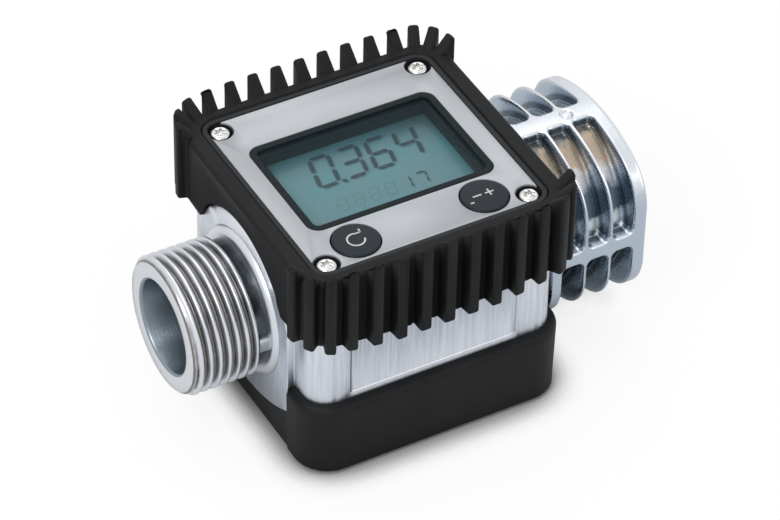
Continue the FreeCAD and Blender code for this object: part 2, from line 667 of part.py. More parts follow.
def turbine_rotor():
    """Hub with twisted blades, drilled for its bushes and magnets."""
    made = body("turbine_rotor", "axis_height")
    hub = sketch(made, "YZ_Plane", f"-{ROTOR_HALF}")
    circle(hub, "0", "0", "hub_radius")
    pad(made, hub, f"2 * {ROTOR_HALF}")

    sections = []
    for step in (-1, 0, 1):
        section = sketch(made, "YZ_Plane", f"{step} * blade_length / 2")
        section.setExpression("AttachmentOffset.Rotation.Angle", bound(f"{step} * blade_twist / 2"))
        tip = "(chamber_radius - tip_clearance)"
        outline(section, [
            ("hub_radius / 2", "-blade_thickness / 2"),
            (tip, "-blade_thickness / 2"),
            (tip, "blade_thickness / 2"),
            ("hub_radius / 2", "blade_thickness / 2"),
        ])
        sections.append(section)
    blade = made.newObject("PartDesign::AdditiveLoft", "turbine_blade")
    blade.Profile = sections[0]
    blade.Sections = sections[1:]
    blade.Ruled = True
    finished(made, blade, False)
    repeat_round(made, [blade], "blade_count")

    through = sketch(made, "YZ_Plane", f"-{ROTOR_HALF}")
    circle(through, "0", "0", "shaft_radius + running_fit")
    pocket(made, through, f"2 * {ROTOR_HALF}", backwards=True)
    for end in (-1, 1):
        seat = sketch(made, "YZ_Plane", f"{end} * {ROTOR_HALF}")
        circle(seat, "0", "0", "bush_radius")
        pocket(made, seat, "bush_length", backwards=end < 0)
    magnets = sketch(made, "YZ_Plane", f"-{ROTOR_HALF}")
    for side in (-1, 1):
        circle(magnets, "0", f"{side} * magnet_circle", "magnet_radius")
    pocket(made, magnets, "magnet_length", backwards=True)
    return made


def rotor_bushes():
    """Bearing bushes pressed into both ends of the rotor."""
    made = body("rotor_bushes", "axis_height")
    for end in (-1, 1):
        ring = sketch(made, "YZ_Plane", f"{end} * {ROTOR_HALF}")
        circle(ring, "0", "0", "bush_radius")
        circle(ring, "0", "0", "shaft_radius + running_fit")
        pad(made, ring, "bush_length", backwards=end > 0)
    return made


def rotor_magnets():
    """Magnets in the rotor's hub that the pick-up sensor counts."""
    made = body("rotor_magnets", "axis_height")
    discs = sketch(made, "YZ_Plane", f"-{ROTOR_HALF}")
    for side in (-1, 1):
        circle(discs, "0", f"{side} * magnet_circle", "magnet_radius")
    pad(made, discs, "magnet_length")
    return made


def thrust_washers():
    """Washers between the rotor and the hubs of the supports."""
    made = body("thrust_washers", "axis_height")
    for end in (-1, 1):
        ring = sketch(made, "YZ_Plane", f"{end} * {HUB_FACE}")
        circle(ring, "0", "0", "washer_radius")
        circle(ring, "0", "0", "shaft_radius")
        pad(made, ring, "washer_thickness", backwards=end > 0)
    return made


def rotor_shaft():
    """Pin that the rotor turns on, held in the hubs of both supports."""
    made = body("rotor_shaft", "axis_height")
    section = sketch(made, "YZ_Plane")
    circle(section, "0", "0", "shaft_radius")
    pad(made, section, f"2 * ({HUB_FACE} + shaft_seat)", symmetric=True)
    return made


# ---------------------------------------------------------------- foot and batteries

def foot_cap():
    """Rubber boot under the casting, with dipped end walls and bulging corners."""
    made = body("foot_cap")
    half_x = f"({BLOCK_X} + foot_end_wall)"
    half_y = f"({BLOCK_Y} + foot_wall)"
    corner = "(block_corner + foot_wall)"
    sole = sketch(made, "XY_Plane")
    rounded_rectangle(sole, f"{half_x} - foot_flank", f"{half_y} - foot_flank", f"{corner} - foot_flank")
    rim = sketch(made, "XY_Plane", "foot_height")
    rounded_rectangle(rim, half_x, half_y, corner)
    shell = made.newObject("PartDesign::AdditiveLoft", "foot_flanks")
    shell.Profile = sole
    shell.Sections = [rim]
    shell.Ruled = True
    finished(made, shell, False)
    flat_sides = sketch(made, "XY_Plane")
    for side in (-1, 1):
        rectangle(flat_sides, "foot_relief", f"{half_y} - {corner} - relief_margin", x=f"{side} * {half_x}")
    pocket(made, flat_sides, "foot_height", backwards=True)
    round_edges(made, "foot_sole", lies_at("Z", 0.0), "Chamfer")
    round_edges(made, "foot_round", lies_at("Z", value("foot_height")))
    cavity = sketch(made, "XY_Plane", "foot_floor")
    rounded_rectangle(cavity, BLOCK_X, BLOCK_Y, "block_corner")
    pocket(made, cavity, "foot_height", backwards=True)

    dip = sketch(made, "YZ_Plane")
    half = "(plate_width / 2 + arch_clearance)"
    centre = "(arch_bottom + arch_radius)"
    end = f"({centre} - sqrt(arch_radius ^ 2 - {half} ^ 2))"
    outline(dip, [
        (f"-{half}", end, "arch_radius"),
        (half, end),
        (half, "foot_height + 1"),
        (f"-{half}", "foot_height + 1"),
    ])
    pocket(made, dip, f"2 * ({half_x} + 1)", symmetric=True)
    return made


def battery_cover():
    """Lid under the battery bays, held by four countersunk screws."""
    made = body("battery_cover", "foot_floor")
    lid = sketch(made, "XY_Plane")
    rounded_rectangle(lid, COVER_X, COVER_Y, "cover_corner - cover_clearance")
    pad(made, lid, "cover_thickness")
    heads = sketch(made, "XY_Plane")
    shanks = sketch(made, "XY_Plane")
    for i, j in CORNERS:
        circle(heads, f"{i} * cover_screw_x", f"{j} * cover_screw_y", "cover_head_radius + fastener_fit")
        circle(shanks, f"{i} * cover_screw_x", f"{j} * cover_screw_y", SHANK_HOLE)
    pocket(made, heads, "cover_head_height", backwards=True)
    pocket(made, shanks, "cover_thickness", backwards=True)
    return made


def battery_gasket():
    """Flat seal between the battery cover and the casting."""
    made = body("battery_gasket", COVER_SEAT)
    ring = sketch(made, "XY_Plane")
    rounded_rectangle(ring, COVER_X, COVER_Y, "cover_corner - cover_clearance")
    rounded_rectangle(ring, f"{COVER_X} - seal_width", f"{COVER_Y} - seal_width",
                      "cover_corner - cover_clearance - seal_width")
    pad(made, ring, "seal_thickness")
    return made


def battery_cover_screws():
    """Screws that hold the battery cover."""
    made = body("battery_cover_screws", "foot_floor")
    heads = sketch(made, "XY_Plane")
    shanks = sketch(made, "XY_Plane")
    for i, j in CORNERS:
        circle(heads, f"{i} * cover_screw_x", f"{j} * cover_screw_y", "cover_head_radius")
        circle(shanks, f"{i} * cover_screw_x", f"{j} * cover_screw_y", "fastener_radius")
    pad(made, heads, "cover_head_height")
    pad(made, shanks, "cover_head_height + cover_screw_length")
    return made


def battery(label, side):
    """Cell in its bay beside the flow tube, with its raised positive end."""
    made = body(label, BATTERY_HEIGHT)
    made.setExpression("Placement.Base.y", bound(f"{side} * {BATTERY_Y}"))
    can = sketch(made, "YZ_Plane", "-battery_length / 2")
    circle(can, "0", "0", "battery_radius")
    pad(made, can, "battery_length - button_tip")
    round_edges(made, "contact_thickness", lambda edge: edge.BoundBox.XLength < 1e-4, "Chamfer")
    tip = sketch(made, "YZ_Plane", "battery_length / 2 - button_tip")
    circle(tip, "0", "0", "battery_radius / 3")
    pad(made, tip, "button_tip")
    return made


def battery_contacts():
    """Spring plates at both ends of each battery bay."""
    made = body("battery_contacts", BATTERY_HEIGHT)
    plates = sketch(made, "XY_Plane")
    for i, j in CORNERS:
        rectangle(plates, "contact_thickness / 2", "contact_width / 2",
                  x=f"{i} * (battery_length + contact_thickness) / 2", y=f"{j} * {BATTERY_Y}")
    pad(made, plates, "contact_width", symmetric=True)
    return made


# ---------------------------------------------------------------- display head

def housing_gasket():
    """Flat seal between the casting's deck and the display housing."""
    made = body("housing_gasket", DECK)
    ring = sketch(made, "XY_Plane")
    rounded_rectangle(ring, HALF_HOUSING, HALF_HOUSING, "housing_corner")
    inner = f"({HALF_HOUSING} - gasket_width)"
    rounded_rectangle(ring, inner, inner, "housing_corner - gasket_width")
    pad(made, ring, "gasket_thickness")
    ears = sketch(made, "XY_Plane")
    holes = sketch(made, "XY_Plane")
    for i, j in CORNERS:
        circle(ears, f"{i} * {HALF_SCREWS}", f"{j} * {HALF_SCREWS}", "boss_radius")
        circle(holes, f"{i} * {HALF_SCREWS}", f"{j} * {HALF_SCREWS}", SHANK_HOLE)
    pad(made, ears, "gasket_thickness")
    pocket(made, holes, "gasket_thickness", backwards=True)
    return made


def display_housing():
    """Square black housing with four screw bosses, a sunken face and its openings."""
    made = body("display_housing", HOUSING_BASE)
    block = sketch(made, "XY_Plane")
    rounded_rectangle(block, HALF_HOUSING, HALF_HOUSING, "housing_corner")
    pad(made, block, "housing_height")
    round_edges(made, "housing_edge", lies_at("Z", value("housing_height")), "Chamfer")
    face = sketch(made, "XY_Plane", "housing_height")
    rounded_rectangle(face, HALF_PANEL, HALF_PANEL, "panel_corner")
    pocket(made, face, "panel_recess")

    cavity = sketch(made, "XY_Plane")
    inner_corner = "(housing_corner - housing_wall)"
    rounded_rectangle(cavity, HALF_CAVITY, HALF_CAVITY, inner_corner)
    pocket(made, cavity, "housing_height - panel_recess - housing_deck", backwards=True)
    bosses = sketch(made, "XY_Plane")
    for i, j in CORNERS:
        circle(bosses, f"{i} * {HALF_SCREWS}", f"{j} * {HALF_SCREWS}", "boss_radius")
    pad(made, bosses, "housing_height - panel_recess - housing_deck")

    shanks = sketch(made, "XY_Plane")
    heads = sketch(made, "XY_Plane", f"{HEAD_SEAT} - {HOUSING_BASE}")
    for i, j in CORNERS:
        circle(shanks, f"{i} * {HALF_SCREWS}", f"{j} * {HALF_SCREWS}", SHANK_HOLE)
        circle(heads, f"{i} * {HALF_SCREWS}", f"{j} * {HALF_SCREWS}", "head_radius + head_clearance")
    pocket(made, shanks, "housing_height", backwards=True)
    pocket(made, heads, "housing_height", backwards=True)

    openings = sketch(made, "XY_Plane", "housing_height")
    rounded_rectangle(openings, WINDOW_X, WINDOW_Y, "window_corner", y=WINDOW_MIDDLE)
    for side in (-1, 1):
        circle(openings, f"{side} * {BUTTON_X}", f"-{BUTTON_Y}", BUTTON_HOLE)
    pocket(made, openings, "panel_recess + housing_deck")
    return made


def face_panel():
    """Thin front plate, notched round the screws and cut out for window and buttons."""
    made = body("face_panel", PANEL_SEAT)
    plate = sketch(made, "XY_Plane")
    half = f"({HALF_PANEL} - panel_clearance)"
    rounded_rectangle(plate, half, half, "panel_corner - panel_clearance")
    rounded_rectangle(plate, WINDOW_X, WINDOW_Y, "window_corner", y=WINDOW_MIDDLE)
    for side in (-1, 1):
        circle(plate, f"{side} * {BUTTON_X}", f"-{BUTTON_Y}", BUTTON_HOLE)
    pad(made, plate, "panel_thickness")
    notches = sketch(made, "XY_Plane")
    for i, j in CORNERS:
        circle(notches, f"{i} * {HALF_SCREWS}", f"{j} * {HALF_SCREWS}", "notch_radius")
    pocket(made, notches, "panel_thickness", backwards=True)
    return made


def cover_screws():
    """Pan-head screws at the corners of the display."""
    made = body("cover_screws", f"{DECK} - screw_grip")
    shanks = sketch(made, "XY_Plane")
    heads = sketch(made, "XY_Plane", f"{HEAD_SEAT} - {DECK} + screw_grip")
    for i, j in CORNERS:
        circle(shanks, f"{i} * {HALF_SCREWS}", f"{j} * {HALF_SCREWS}", "fastener_radius")
        circle(heads, f"{i} * {HALF_SCREWS}", f"{j} * {HALF_SCREWS}", "head_radius")
    pad(made, shanks, f"{HEAD_SEAT} - {DECK} + screw_grip")
    pad(made, heads, "head_height")
    top = f"{HEAD_SEAT} + head_height - {DECK} + screw_grip"
    round_edges(made, "head_height / 3", lies_at("Z", value(top)), "Chamfer")
    return made


def window_frame():
    """Deep black frame round the display, stepped inside to carry the lens."""
    made = body("window_frame", FRAME_BOTTOM)
    ring = sketch(made, "XY_Plane")
    rounded_rectangle(ring, WINDOW_X, WINDOW_Y, "window_corner", y=WINDOW_MIDDLE)
    inner_x = f"({WINDOW_X} - frame_width)"
    inner_y = f"({WINDOW_Y} - frame_width)"
    inner_corner = "(window_corner - frame_width)"
    rounded_rectangle(ring, f"{inner_x} - frame_step", f"{inner_y} - frame_step",
                      f"{inner_corner} - frame_step", y=WINDOW_MIDDLE)
    pad(made, ring, "frame_depth")
    step = sketch(made, "XY_Plane", "frame_depth")
    rounded_rectangle(step, inner_x, inner_y, inner_corner, y=WINDOW_MIDDLE)
    pocket(made, step, "lens_sink + lens_thickness")
    return made


def window_lens():
    """Clear lens in the window frame's step."""
    made = body("window_lens", f"{PANEL_TOP} - lens_sink - lens_thickness")
    plate = sketch(made, "XY_Plane")
    rounded_rectangle(plate, f"{WINDOW_X} - frame_width", f"{WINDOW_Y} - frame_width",
                      "window_corner - frame_width", y=WINDOW_MIDDLE)
    pad(made, plate, "lens_thickness")
    return made


def display_cell():
    """Liquid crystal cell under the window frame."""
    made = body("display_cell", DISPLAY_BOTTOM)
    plate = sketch(made, "XY_Plane")
    rectangle(plate, f"{WINDOW_X} - frame_step", f"{WINDOW_Y} - frame_step", y=WINDOW_MIDDLE)
    pad(made, plate, "display_thickness")
    return made


def contact_strips():
    """Elastomer strips that join the display cell to the circuit board."""
    made = body("contact_strips", BOARD_TOP)
    strips = sketch(made, "XY_Plane")
    for side in (-1, 1):
        rectangle(strips, f"{WINDOW_X} - frame_width", "strip_width / 2",
                  y=f"{WINDOW_MIDDLE} + {side} * ({WINDOW_Y} - strip_width)")
    pad(made, strips, "strip_height")
    return made


def circuit_board():
    """Circuit board that fills the housing between its bosses."""
    made = body("circuit_board", f"{BOARD_TOP} - board_thickness")
    plate = sketch(made, "XY_Plane")
    half = f"({HALF_CAVITY} - board_clearance)"
    rectangle(plate, half, half)
    pad(made, plate, "board_thickness")
    notches = sketch(made, "XY_Plane")
    for i, j in CORNERS:
        circle(notches, f"{i} * {HALF_SCREWS}", f"{j} * {HALF_SCREWS}", "boss_radius + board_clearance")
    pocket(made, notches, "board_thickness", backwards=True)
    return made


BUTTON_TOP = f"({PANEL_TOP} + button_proud)"
FLANGE_TOP = f"({DECK_UNDERSIDE} - switch_gap)"
BUTTON_BASE = f"({FLANGE_TOP} - flange_height)"


def button(label, side):
    """Round push button with the flange that keeps it under the housing's top wall."""
    made = body(label, BUTTON_BASE)
    made.setExpression("Placement.Base.x", bound(f"{side} * {BUTTON_X}"))
    made.setExpression("Placement.Base.y", bound(f"-{BUTTON_Y}"))
    flange = sketch(made, "XY_Plane")
    circle(flange, "0", "0", "button_radius + button_clearance + button_flange")
    pad(made, flange, "flange_height")
    cap = sketch(made, "XY_Plane")
    circle(cap, "0", "0", "button_radius")
    pad(made, cap, f"{BUTTON_TOP} - {BUTTON_BASE}")
    top = value(f"{BUTTON_TOP} - {BUTTON_BASE}")
    round_edges(made, "button_proud", lies_at("Z", top), "Chamfer")
    return made


def tactile_switches():
    """Switches on the circuit board under the two buttons."""
    made = body("tactile_switches", BOARD_TOP)
    height = f"({BUTTON_BASE} - button_travel - switch_gap - {BOARD_TOP})"
    cases = sketch(made, "XY_Plane")
    plungers = sketch(made, "XY_Plane")
    for side in (-1, 1):
        rectangle(cases, "switch_side / 2", "switch_side / 2", x=f"{side} * {BUTTON_X}",
                  y=f"-{BUTTON_Y}")
        circle(plungers, f"{side} * {BUTTON_X}", f"-{BUTTON_Y}", "switch_side / 4")
    pad(made, cases, f"{height} / 2")
    pad(made, plungers, height)
    return made


def pickup_sensor():
    """Sensor that stands in the casting's blind hole above the rotor."""
    made = body("pickup_sensor", "axis_height + chamber_radius + sensor_wall")
    can = sketch(made, "XY_Plane")
    circle(can, "0", "0", "sensor_radius")
    pad(made, can, f"{BOARD_TOP} - board_thickness - axis_height - chamber_radius - sensor_wall")
    return made


# ---------------------------------------------------------------- rubber guard

def fin_section(drawn, reach, wall, bottom, side=1):
    """Draw one fin from inside the guard's wall out to its rounded tip."""
    top = f"({GUARD_TOP} + fin_rise)"
    outline(drawn, [
        (f"{side} * ({wall})", bottom),
        (f"{side} * ({reach} - fin_tip)", bottom),
        (f"{side} * {reach}", f"{bottom} + fin_tip"),
        (f"{side} * {reach}", f"{top} - fin_tip", f"{side} * fin_tip"),
        (f"{side} * ({reach} - fin_tip)", top),
        (f"{side} * ({reach} - fin_tip - fin_rise)", GUARD_TOP),
        (f"{side} * ({wall})", f"{GUARD_TOP} - fin_root"),
    ])


def corner_fins(made, bottom):
    """Fan three fins out at each corner of the guard."""
    fin = sketch(made, "XZ_Plane")
    upright = FreeCAD.Vector(0, 1, 0)
    fin.AttachmentOffset = FreeCAD.Placement(
        FreeCAD.Vector(), FreeCAD.Rotation(upright, value("corner_start")))
    fin.setExpression("AttachmentOffset.Base.x", bound(CORNER_CENTRE))
    fin.setExpression("AttachmentOffset.Base.z", bound(f"-{CORNER_CENTRE}"))
    fin.setExpression("AttachmentOffset.Rotation.Angle", bound("corner_start"))
    fin_section(fin, "corner_reach", "guard_corner - fin_root", bottom)
    first = pad(made, fin, "fin_thickness", symmetric=True)
    fan = made.newObject("PartDesign::PolarPattern", "guard_fan")
    fan.Axis = (fin, ["V_Axis"])
    fan.setExpression("Angle", bound("corner_sweep"))
    fan.setExpression("Occurrences", bound("corner_fins"))
    across = made.newObject("PartDesign::Mirrored", "guard_across")
    across.MirrorPlane = (origin(made, "XZ_Plane"), [""])
    along = made.newObject("PartDesign::Mirrored", "guard_along")
    along.MirrorPlane = (origin(made, "YZ_Plane"), [""])
    all_corners = made.newObject("PartDesign::MultiTransform", "guard_corners")
    all_corners.Originals = [first]
    all_corners.Transformations = [fan, across, along]
    made.Tip = all_corners
    finished(made, all_corners, False)


def rubber_guard():
    """Finned rubber armour round the display housing and the top of the casting."""
    made = body("rubber_guard")
    bottom = f"({DECK} - guard_drop)"
    wall = sketch(made, "XY_Plane", bottom)
    rounded_rectangle(wall, GUARD_X, GUARD_Y, "guard_corner")
    pad(made, wall, f"{GUARD_TOP} - {bottom}")
    round_edges(made, "fin_tip", lies_at("Z", value(GUARD_TOP)))

    row = sketch(made, "YZ_Plane", "-fin_pitch * (fin_count - 1) / 2")
    for side in (-1, 1):
        fin_section(row, FIN_REACH, f"{GUARD_Y} - fin_root", bottom, side)
    pair = pad(made, row, "fin_thickness", symmetric=True)
    repeat_along(made, [pair], "fin_pitch", "fin_count")
    bow = f"({FIN_REACH} - fin_bow + sqrt(fin_bow ^ 2 - {GUARD_X} ^ 2))"
    beyond = f"({FIN_REACH} + 1)"
    tips = sketch(made, "XY_Plane", bottom)
    for side in (-1, 1):
        outline(tips, [
            (GUARD_X, f"{side} * {bow}", f"{side} * fin_bow"),
            (f"-{GUARD_X}", f"{side} * {bow}"),
            (f"-{GUARD_X}", f"{side} * {beyond}"),
            (GUARD_X, f"{side} * {beyond}"),
        ])
    pocket(made, tips, f"{GUARD_TOP} + fin_rise - {bottom} + 1", backwards=True)
    corner_fins(made, bottom)

    below = sketch(made, "XY_Plane", bottom)
    room = "guard_clearance"
    rounded_rectangle(below, f"{BLOCK_X} + {room}", f"{BLOCK_Y} + {room}", f"block_corner + {room}")
    pocket(made, below, "guard_drop", backwards=True)
    inside = sketch(made, "XY_Plane", bottom)
    half = f"({HALF_HOUSING} + {room})"
    rounded_rectangle(inside, half, half, f"housing_corner + {room}")
    pocket(made, inside, f"{GUARD_TOP} + 1 - {bottom}", backwards=True)
    arch = sketch(made, "YZ_Plane")
    circle(arch, "0", "axis_height", "plate_radius + arch_gap")
    pocket(made, arch, f"2 * {GUARD_X} + 2", symmetric=True)
    skirt = sketch(made, "XZ_Plane")
    far = f"({GUARD_X} + {FIN_REACH})"
    lift = f"({bottom} + skirt_bow - sqrt(skirt_bow ^ 2 - {far} ^ 2))"
    outline(skirt, [
        (f"-{far}", lift, "skirt_bow"),
        (far, lift),
        (far, f"{bottom} - 1"),
        (f"-{far}", f"{bottom} - 1"),
    ])
    pocket(made, skirt, f"3 * {FIN_REACH}", symmetric=True)
    return made


BUILDERS = [
    body_casting,
    lambda: bearing_support("inlet_support", False),
    lambda: bearing_support("outlet_support", True),
    lambda: retaining_ring("inlet_retaining_ring", -1),
    lambda: retaining_ring("outlet_retaining_ring", 1),
    turbine_rotor,
    rotor_bushes,
    rotor_magnets,
    thrust_washers,
    rotor_shaft,
    foot_cap,
    battery_cover,
    battery_gasket,
    battery_cover_screws,
    lambda: battery("front_battery", -1),
    lambda: battery("rear_battery", 1),
    battery_contacts,
    housing_gasket,
    display_housing,
    face_panel,
    cover_screws,
    window_frame,
    window_lens,
    display_cell,
    contact_strips,
    circuit_board,
    lambda: button("reset_button", -1),
    lambda: button("setup_button", 1),
    tactile_switches,
    pickup_sensor,
    rubber_guard,
]

sub_parts = [build() for build in BUILDERS]
doc.recompute()

for item in doc.Objects:
    if {"Invalid", "Error"} & set(item.State):
        raise RuntimeError(f"{item.Label} failed: {item.State}")
os.makedirs("parts", exist_ok=True)
for part in sub_parts:
    if part.Shape.isNull() or not part.Shape.isValid():
        raise RuntimeError(f"{part.Label} has no valid shape")
for part in sub_parts:
    part.Shape.exportStep(f"parts/{part.Label}.step")
    print(f"{part.Label}: {len(part.Shape.Solids)} solid(s), {part.Shape.Volume:.1f} mm3")
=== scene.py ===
"""Dresses the turbine flow meter: cast body, rubber guard and foot, and the display head."""

import json
import logging
import math
from dataclasses import dataclass, field
from enum import Enum
from typing import Callable, Iterable, Optional, Sequence

import bmesh
import bpy
from mathutils import Matrix, Vector


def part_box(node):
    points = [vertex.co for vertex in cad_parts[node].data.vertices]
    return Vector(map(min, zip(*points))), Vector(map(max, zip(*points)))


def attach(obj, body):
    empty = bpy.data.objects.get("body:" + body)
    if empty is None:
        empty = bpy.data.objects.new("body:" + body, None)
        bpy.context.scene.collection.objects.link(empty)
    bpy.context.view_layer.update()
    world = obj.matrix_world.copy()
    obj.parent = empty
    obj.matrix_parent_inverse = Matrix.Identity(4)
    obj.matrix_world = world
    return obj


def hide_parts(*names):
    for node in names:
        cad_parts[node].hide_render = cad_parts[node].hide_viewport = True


log = logging.getLogger("flow_meter")

MM = 0.001
FLOW = Vector((1.0, 0.0, 0.0))
UP = Vector((0.0, 0.0, 1.0))

Colour = tuple[float, float, float]


# ---------------------------------------------------------------- shader building


def _operator(operation: str, swapped: bool = False) -> Callable[["Sock", "Sock | float"], "Sock"]:
    """Makes an arithmetic method that adds one Math node.

    Args:
        operation: the node's operation.
        swapped: whether the other operand comes first.

    Returns:
        The method.
    """

    def method(this: "Sock", other: "Sock | float") -> "Sock":
        """The operation's result."""
        operands = (other, this) if swapped else (this, other)
        return this.shader.node("ShaderNodeMath", {"operation": operation}, dict(enumerate(operands)))

    return method


class Sock:
    """An output socket that takes part in plain arithmetic, one Math node for each operation."""

    __add__ = _operator("ADD")
    __radd__ = _operator("ADD", swapped=True)
    __sub__ = _operator("SUBTRACT")
    __rsub__ = _operator("SUBTRACT", swapped=True)
    __mul__ = _operator("MULTIPLY")
    __rmul__ = _operator("MULTIPLY", swapped=True)
    __truediv__ = _operator("DIVIDE")
    __pow__ = _operator("POWER")

    def __init__(self, shader: "Shader", socket: bpy.types.NodeSocket) -> None:
        """Wraps a socket of a shader's tree."""
        self.shader = shader
        self.socket = socket

    def clipped(self, low: float, high: float) -> "Sock":
        """A smooth step that is 0 at low and 1 at high."""
        inputs = {"Value": self, "From Min": low, "From Max": high}
        return self.shader.node("ShaderNodeMapRange", {"interpolation_type": "SMOOTHSTEP"}, inputs)


class Shader:
    """A material under construction: its tree, its Principled shader and its coordinates."""

    def __init__(self, name: str) -> None:
        """Starts a material with a bare Principled shader.

        Args:
            name: the material's name.
        """
        self.material = bpy.data.materials.new(name)
        self.material.use_nodes = True
        self.tree = self.material.node_tree
        self.surface = self.tree.nodes["Principled BSDF"]

    def node(
        self,
        kind: str,
        settings: Optional[dict] = None,
        inputs: Optional[dict] = None,
        output: "int | str" = 0,
    ) -> Sock:
        """Adds a node, sets it up and fills its sockets.

        Args:
            kind: the node's type.
            settings: the node's own settings, set first; a ramp takes its stops as "stops".
            inputs: values or links by socket name or number.
            output: the output that is wanted.

        Returns:
            That output.
        """
        made = self.tree.nodes.new(kind)
        for name, setting in (settings or {}).items():
            if name == "stops":
                self._set_stops(made.color_ramp, setting)
            else:
                setattr(made, name, setting)
        for name, given in (inputs or {}).items():
            self._fill(made.inputs[name], given)
        return Sock(self, made.outputs[output])

    def _set_stops(self, ramp: bpy.types.ColorRamp, stops: Sequence[tuple[float, Colour]]) -> None:
        """Gives a colour ramp its stops.

        Args:
            ramp: the ramp.
            stops: places and colours, from left to right.
        """
        while len(ramp.elements) < len(stops):
            ramp.elements.new(1.0)
        for element, (place, colour) in zip(ramp.elements, stops):
            element.position = place
            element.color = (*colour, 1.0)

    def _fill(self, socket: bpy.types.NodeSocket, given: "Sock | float | Sequence[float]") -> None:
        """Links or sets one socket.

        Args:
            socket: the input socket.
            given: a link, a number, a vector or a colour.
        """
        if isinstance(given, Sock):
            self.tree.links.new(given.socket, socket)
        elif socket.type == "RGBA":
            socket.default_value = (*given[:3], 1.0)
        else:
            socket.default_value = given

    def set(self, **inputs: "Sock | float | Sequence[float]") -> None:
        """Fills the Principled shader's sockets, named with underscores for spaces."""
        for name, given in inputs.items():
            self._fill(self.surface.inputs[name.replace("_", " ")], given)

    def lit(self) -> Sock:
        """The Principled shader's own output."""
        return Sock(self, self.surface.outputs[0])

    def place(self) -> Sock:
        """The point on the piece in its object's coordinates."""
        return self.node("ShaderNodeTexCoord", output="Object")

    def part(self, axis: str) -> Sock:
        """One coordinate of the point, in metres."""
        return self.node("ShaderNodeSeparateXYZ", {}, {0: self.place()}, axis)

    def axis_radius(self) -> Sock:
        """The point's distance from the flow axis, in metres."""
        return (self.part("Y") ** 2.0 + (self.part("Z") - AXIS_HEIGHT) ** 2.0) ** 0.5

    def normal_part(self, axis: str) -> Sock:
        """One coordinate of the surface normal at rest."""
        facing = self.node("ShaderNodeNewGeometry", output="Normal")
        return self.node("ShaderNodeSeparateXYZ", {}, {0: facing}, axis)

    def noise(
        self,
        size: float,
        detail: float = 3.0,
        stretch: Sequence[float] = (1.0, 1.0, 1.0),
        roughness: float = 0.5,
    ) -> Sock:
        """A noise pattern between about 0 and 1.

        Args:
            size: the size of its features, in metres.
            detail: how many finer layers it has.
            stretch: how much longer its features are along each axis.
            roughness: how strong the finer layers are.

        Returns:
            The pattern.
        """
        mapped = self.node(
            "ShaderNodeMapping", {}, {"Vector": self.place(), "Scale": [1.0 / factor for factor in stretch]}
        )
        inputs = {"Vector": mapped, "Scale": 1.0 / size, "Detail": detail, "Roughness": roughness}
        return self.node("ShaderNodeTexNoise", {}, inputs)

    def openness(self, reach: float) -> Sock:
        """How open the surface lies to others within reach: 1 in the open, towards 0 in hollows."""
        return self.node("ShaderNodeAmbientOcclusion", {"samples": 8}, {"Distance": reach}, "AO")

    def mix(self, factor: "Sock | float", first: "Sock | Colour", second: "Sock | Colour") -> Sock:
        """Mixes two colours: the first where the factor is 0, the second where it is 1."""
        return self.node("ShaderNodeMix", {"data_type": "RGBA"}, {0: factor, 6: first, 7: second}, 2)

    def bump(self, height: Sock, depth: float, strength: float = 1.0, under: Optional[Sock] = None) -> Sock:
        """A bumped normal.

        Args:
            height: the pattern that stands up.
            depth: how far it stands up, in metres.
            strength: how much of it shows.
            under: another bumped normal that it adds to.

        Returns:
            The normal.
        """
        inputs = {"Height": height, "Distance": depth, "Strength": strength}
        if under is not None:
            inputs["Normal"] = under
        return self.node("ShaderNodeBump", {}, inputs)

    def cast_skin(self, grain: Sock, depth: float, swell: float = 5 * MM, height: float = 0.05 * MM) -> Sock:
        """The bumped normal of a casting, whose grain lies over gentle swells.

        Args:
            grain: the grain's pattern.
            depth: how far the grain stands up, in metres.
            swell: the size of the swells, in metres.
            height: how far they stand up, in metres.

        Returns:
            The normal.
        """
        return self.bump(grain, depth, under=self.bump(self.noise(swell, 2.0), height))


# ---------------------------------------------------------------- finishes


@dataclass(frozen=True)
class CastMetal:
    """Die-cast aluminium with painted light and shade: painted bright where it faces up, duller on its sides,
    and painted shade dark in its corners.
    """

    name: str = "cast_aluminium"
    # painted light: the first colour is for surfaces that face up, the second for the duller sides
    painted_lit_top: Colour = (0.78, 0.80, 0.85)
    side: Colour = (0.63, 0.67, 0.735)
    worn: Colour = (0.46, 0.505, 0.57)
    # painted shade colour for corners and hollows
    painted_hollow_shade: Colour = (0.15, 0.17, 0.19)
    reach: float = 4.5 * MM
    roughness: float = 0.30
    cloud: float = 14 * MM
    grain: float = 0.5 * MM
    grain_depth: float = 0.016 * MM
    brushing: tuple[float, float, float] = (1.0, 1.0, 24.0)

    def build(self) -> bpy.types.Material:
        """Makes the material."""
        made = Shader(self.name)
        cloud = made.noise(self.cloud, 3.0)
        fine = made.noise(self.grain, 4.0, roughness=0.6)
        brushed = made.noise(self.grain, 3.0, stretch=self.brushing).clipped(0.3, 0.75)
        # painted light: the normal's height, with a little noise, picks the bright top colour or the duller
        # side colour
        facing = made.normal_part("Z") + 0.5 * (cloud - 0.5)
        side = made.mix(brushed, self.worn, self.side)
        skin = made.mix(facing.clipped(-0.25, 0.75), side, self.painted_lit_top)
        # painted shade: ambient occlusion darkens corners and hollows
        made.set(
            Base_Color=made.mix(made.openness(self.reach).clipped(0.25, 0.80), self.painted_hollow_shade, skin),
            Metallic=1.0,
            Roughness=self.roughness + 0.14 * fine.clipped(0.3, 0.7),
            Normal=made.cast_skin(fine, self.grain_depth),
        )
        return made.material


